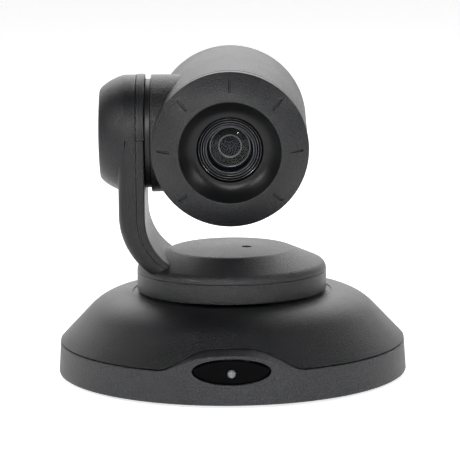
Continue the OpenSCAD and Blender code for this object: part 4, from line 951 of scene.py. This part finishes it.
for name, r_in, r_out, at, thick, finish in (("pupil_ring_turned", 6.05, 6.7, 36.9, 1.6, bright),
        ("element_ring_turned", 10.9, 12.4, 38.1, 3.0, black_ring),
        ("element_edge_turned", 11.1, 11.5, 38.4, 0.8, bright),
        ("front_edge_turned", 13.3, 13.55, TUBE_FRONT - 0.5, 0.8, bright),
        ("first_tube_ring_turned", 14.75, 15.0, TUBE_FRONT - 0.35, 1.4, bright),
        ("second_tube_ring_turned", 16.1, 16.35, TUBE_FRONT - 0.2, 1.4, bright),
        ("third_tube_ring_turned", 17.5, 17.7, TUBE_FRONT - 0.05, 1.4, bright)):
    outline = rounded([[r_out, at - thick], [r_out, at], [r_in, at - 0.15], [r_in, at - thick]],
        [0, 0.2, 0.15, 0])
    piece(name, [placed(lathe(outline, 96), in_head)], finish, "head", [])

# Screws, shafts, base plate and retaining rings: zinc-plated steel, turned or stamped.


def brushed_metal(name, dark, light, roughness, stretch, line_mm, metallic=1.0):
    """Metal with fine working lines. The eye sees bright and dark streaks along one way, drawn line_mm
    apart, and a slow cloudiness of the plating."""
    material, tree, place = new_material(name)
    along = add_node(tree, "ShaderNodeMapping", {"Vector": place, "Scale": stretch})
    lines = add_node(tree, "ShaderNodeTexNoise",
        {"Vector": along.outputs[0], "Scale": 1000 / line_mm, "Detail": 3.0})
    cloud = add_node(tree, "ShaderNodeTexNoise", {"Vector": place, "Scale": 80.0})
    both = add_node(tree, "ShaderNodeMath", {0: lines.outputs["Fac"], 1: cloud.outputs["Fac"]},
        operation="MULTIPLY")
    bump = add_node(tree, "ShaderNodeBump", {"Height": lines.outputs["Fac"], "Strength": 0.3,
        "Distance": 0.02 * MM})
    gloss = add_node(tree, "ShaderNodeMapRange",
        {"Value": cloud.outputs["Fac"], "To Min": roughness - 0.05, "To Max": roughness + 0.08})
    return finish_material(material, tree, tones=(both.outputs[0], dark, light), metallic=metallic,
        roughness=gloss.outputs[0], normal=bump.outputs["Normal"])


zinc = brushed_metal("zinc_plated_steel", "#83878c", "#c3c6ca", 0.32, (1, 1, 0.15), 0.6)
for node in ("base_plate", "base_screws", "board_screws", "pan_motor_screws", "turret_screws",
        "arm_foot_screws", "tilt_motor_screws", "pan_rotor_shaft", "tilt_rotor_shaft",
        "pan_retaining_ring", "tilt_retaining_ring", "pan_shaft", "tilt_shaft"):
    repaint(node, zinc)
repaint("turret_cover_screw", brushed_metal("black_oxide_steel", "#0c0c0d", "#1d1e20", 0.4, (1, 1, 1), 0.8,
    0.6))

# Brass inserts, standoffs and bushes: free-cutting brass, turned.
brass = brushed_metal("turned_brass", "#8d6a2c", "#c9a55c", 0.28, (1, 1, 6), 0.5)
for node in ("tripod_insert", "board_standoffs", "pan_bush", "tilt_bushes"):
    repaint(node, brass)

# Frames and heat sink: aluminium alloy, die cast and left as cast.
cast = brushed_metal("die_cast_aluminium", "#7b7e82", "#a6a9ad", 0.5, (1, 1, 1), 1.2)
for node in ("pan_chassis", "arm_frame", "camera_chassis", "processor_heatsink"):
    repaint(node, cast)

# Motors: deep-drawn steel cans, nickel plated.
can = brushed_metal("drawn_nickel_plated_steel", "#8f9296", "#c9cccf", 0.25, (0.2, 0.2, 3), 0.7)
for node in ("pan_motor", "tilt_motor"):
    repaint(node, can)

# Feet: moulded rubber pads pressed into the base plate.
repaint("rubber_feet", rubber)

# Gears and thrust washer: natural acetal, injection moulded, slightly waxy.


def acetal(name):
    """Moulded acetal. The eye sees a milky off-white with a waxy sheen and faint flow clouds of 5 mm."""
    material, tree, place = new_material(name)
    flow = add_node(tree, "ShaderNodeTexNoise", {"Vector": place, "Scale": 200.0, "Detail": 2.0})
    bump = add_node(tree, "ShaderNodeBump", {"Height": flow.outputs["Fac"], "Strength": 0.2,
        "Distance": 0.05 * MM})
    return finish_material(material, tree, tones=(flow.outputs["Fac"], "#d9d4c4", "#ece8dc"),
        roughness=0.4, scatter=0.15, scatter_scale=1 * MM, normal=bump.outputs["Normal"])


natural = acetal("moulded_natural_acetal")
for node in ("pan_pinion", "pan_gear", "tilt_pinion", "tilt_gear", "pan_thrust_washer"):
    repaint(node, natural)

# Circuit boards: glass-epoxy laminate under green solder mask, with copper tracks that show through.


def solder_mask(name):
    """Green solder mask over copper. The eye sees brick-like runs of lighter green tracks, 1.2 mm apart."""
    material, tree, place = new_material(name)
    tracks = add_node(tree, "ShaderNodeTexBrick",
        {"Vector": place, "Scale": 400.0, "Mortar Size": 0.06, "Color1": linear("#0f4a30"),
        "Color2": linear("#145a3a"), "Mortar": linear("#2f8a5c")})
    relief = add_node(tree, "ShaderNodeBump", {"Height": tracks.outputs["Fac"], "Strength": 0.3,
        "Distance": 0.03 * MM})
    return finish_material(material, tree, color=tracks.outputs["Color"], roughness=0.3,
        normal=relief.outputs["Normal"])


board = solder_mask("solder_masked_laminate")
black_part = moulded_plastic("moulded_epoxy_component", "#101011", "#1a1a1b", 0.5, 0.3, 0.02)
for node in ("main_board", "receiver_board", "driver_board", "sensor_board"):
    repaint(node, board, black_part)

# Socket bay: a textured black ABS tray pressed into the notch at the back, with the power, data and
# network sockets in its panel. The sockets' shells are tin-plated steel, the power jack is moulded.
repaint("rear_bay", moulded_plastic("textured_moulded_abs_bay", "#161617", "#232425", 0.55, 0.5, 0.05))
tin = brushed_metal("stamped_tin_plated_steel", "#9a9da1", "#cfd1d4", 0.3, (3, 3, 0.5), 0.6)
for node in ("usb_port", "network_port"):
    repaint(node, tin)
repaint("dc_power_jack", moulded_plastic("moulded_nylon_jack", "#0d0d0e", "#161617", 0.45, 0.3, 0.02))
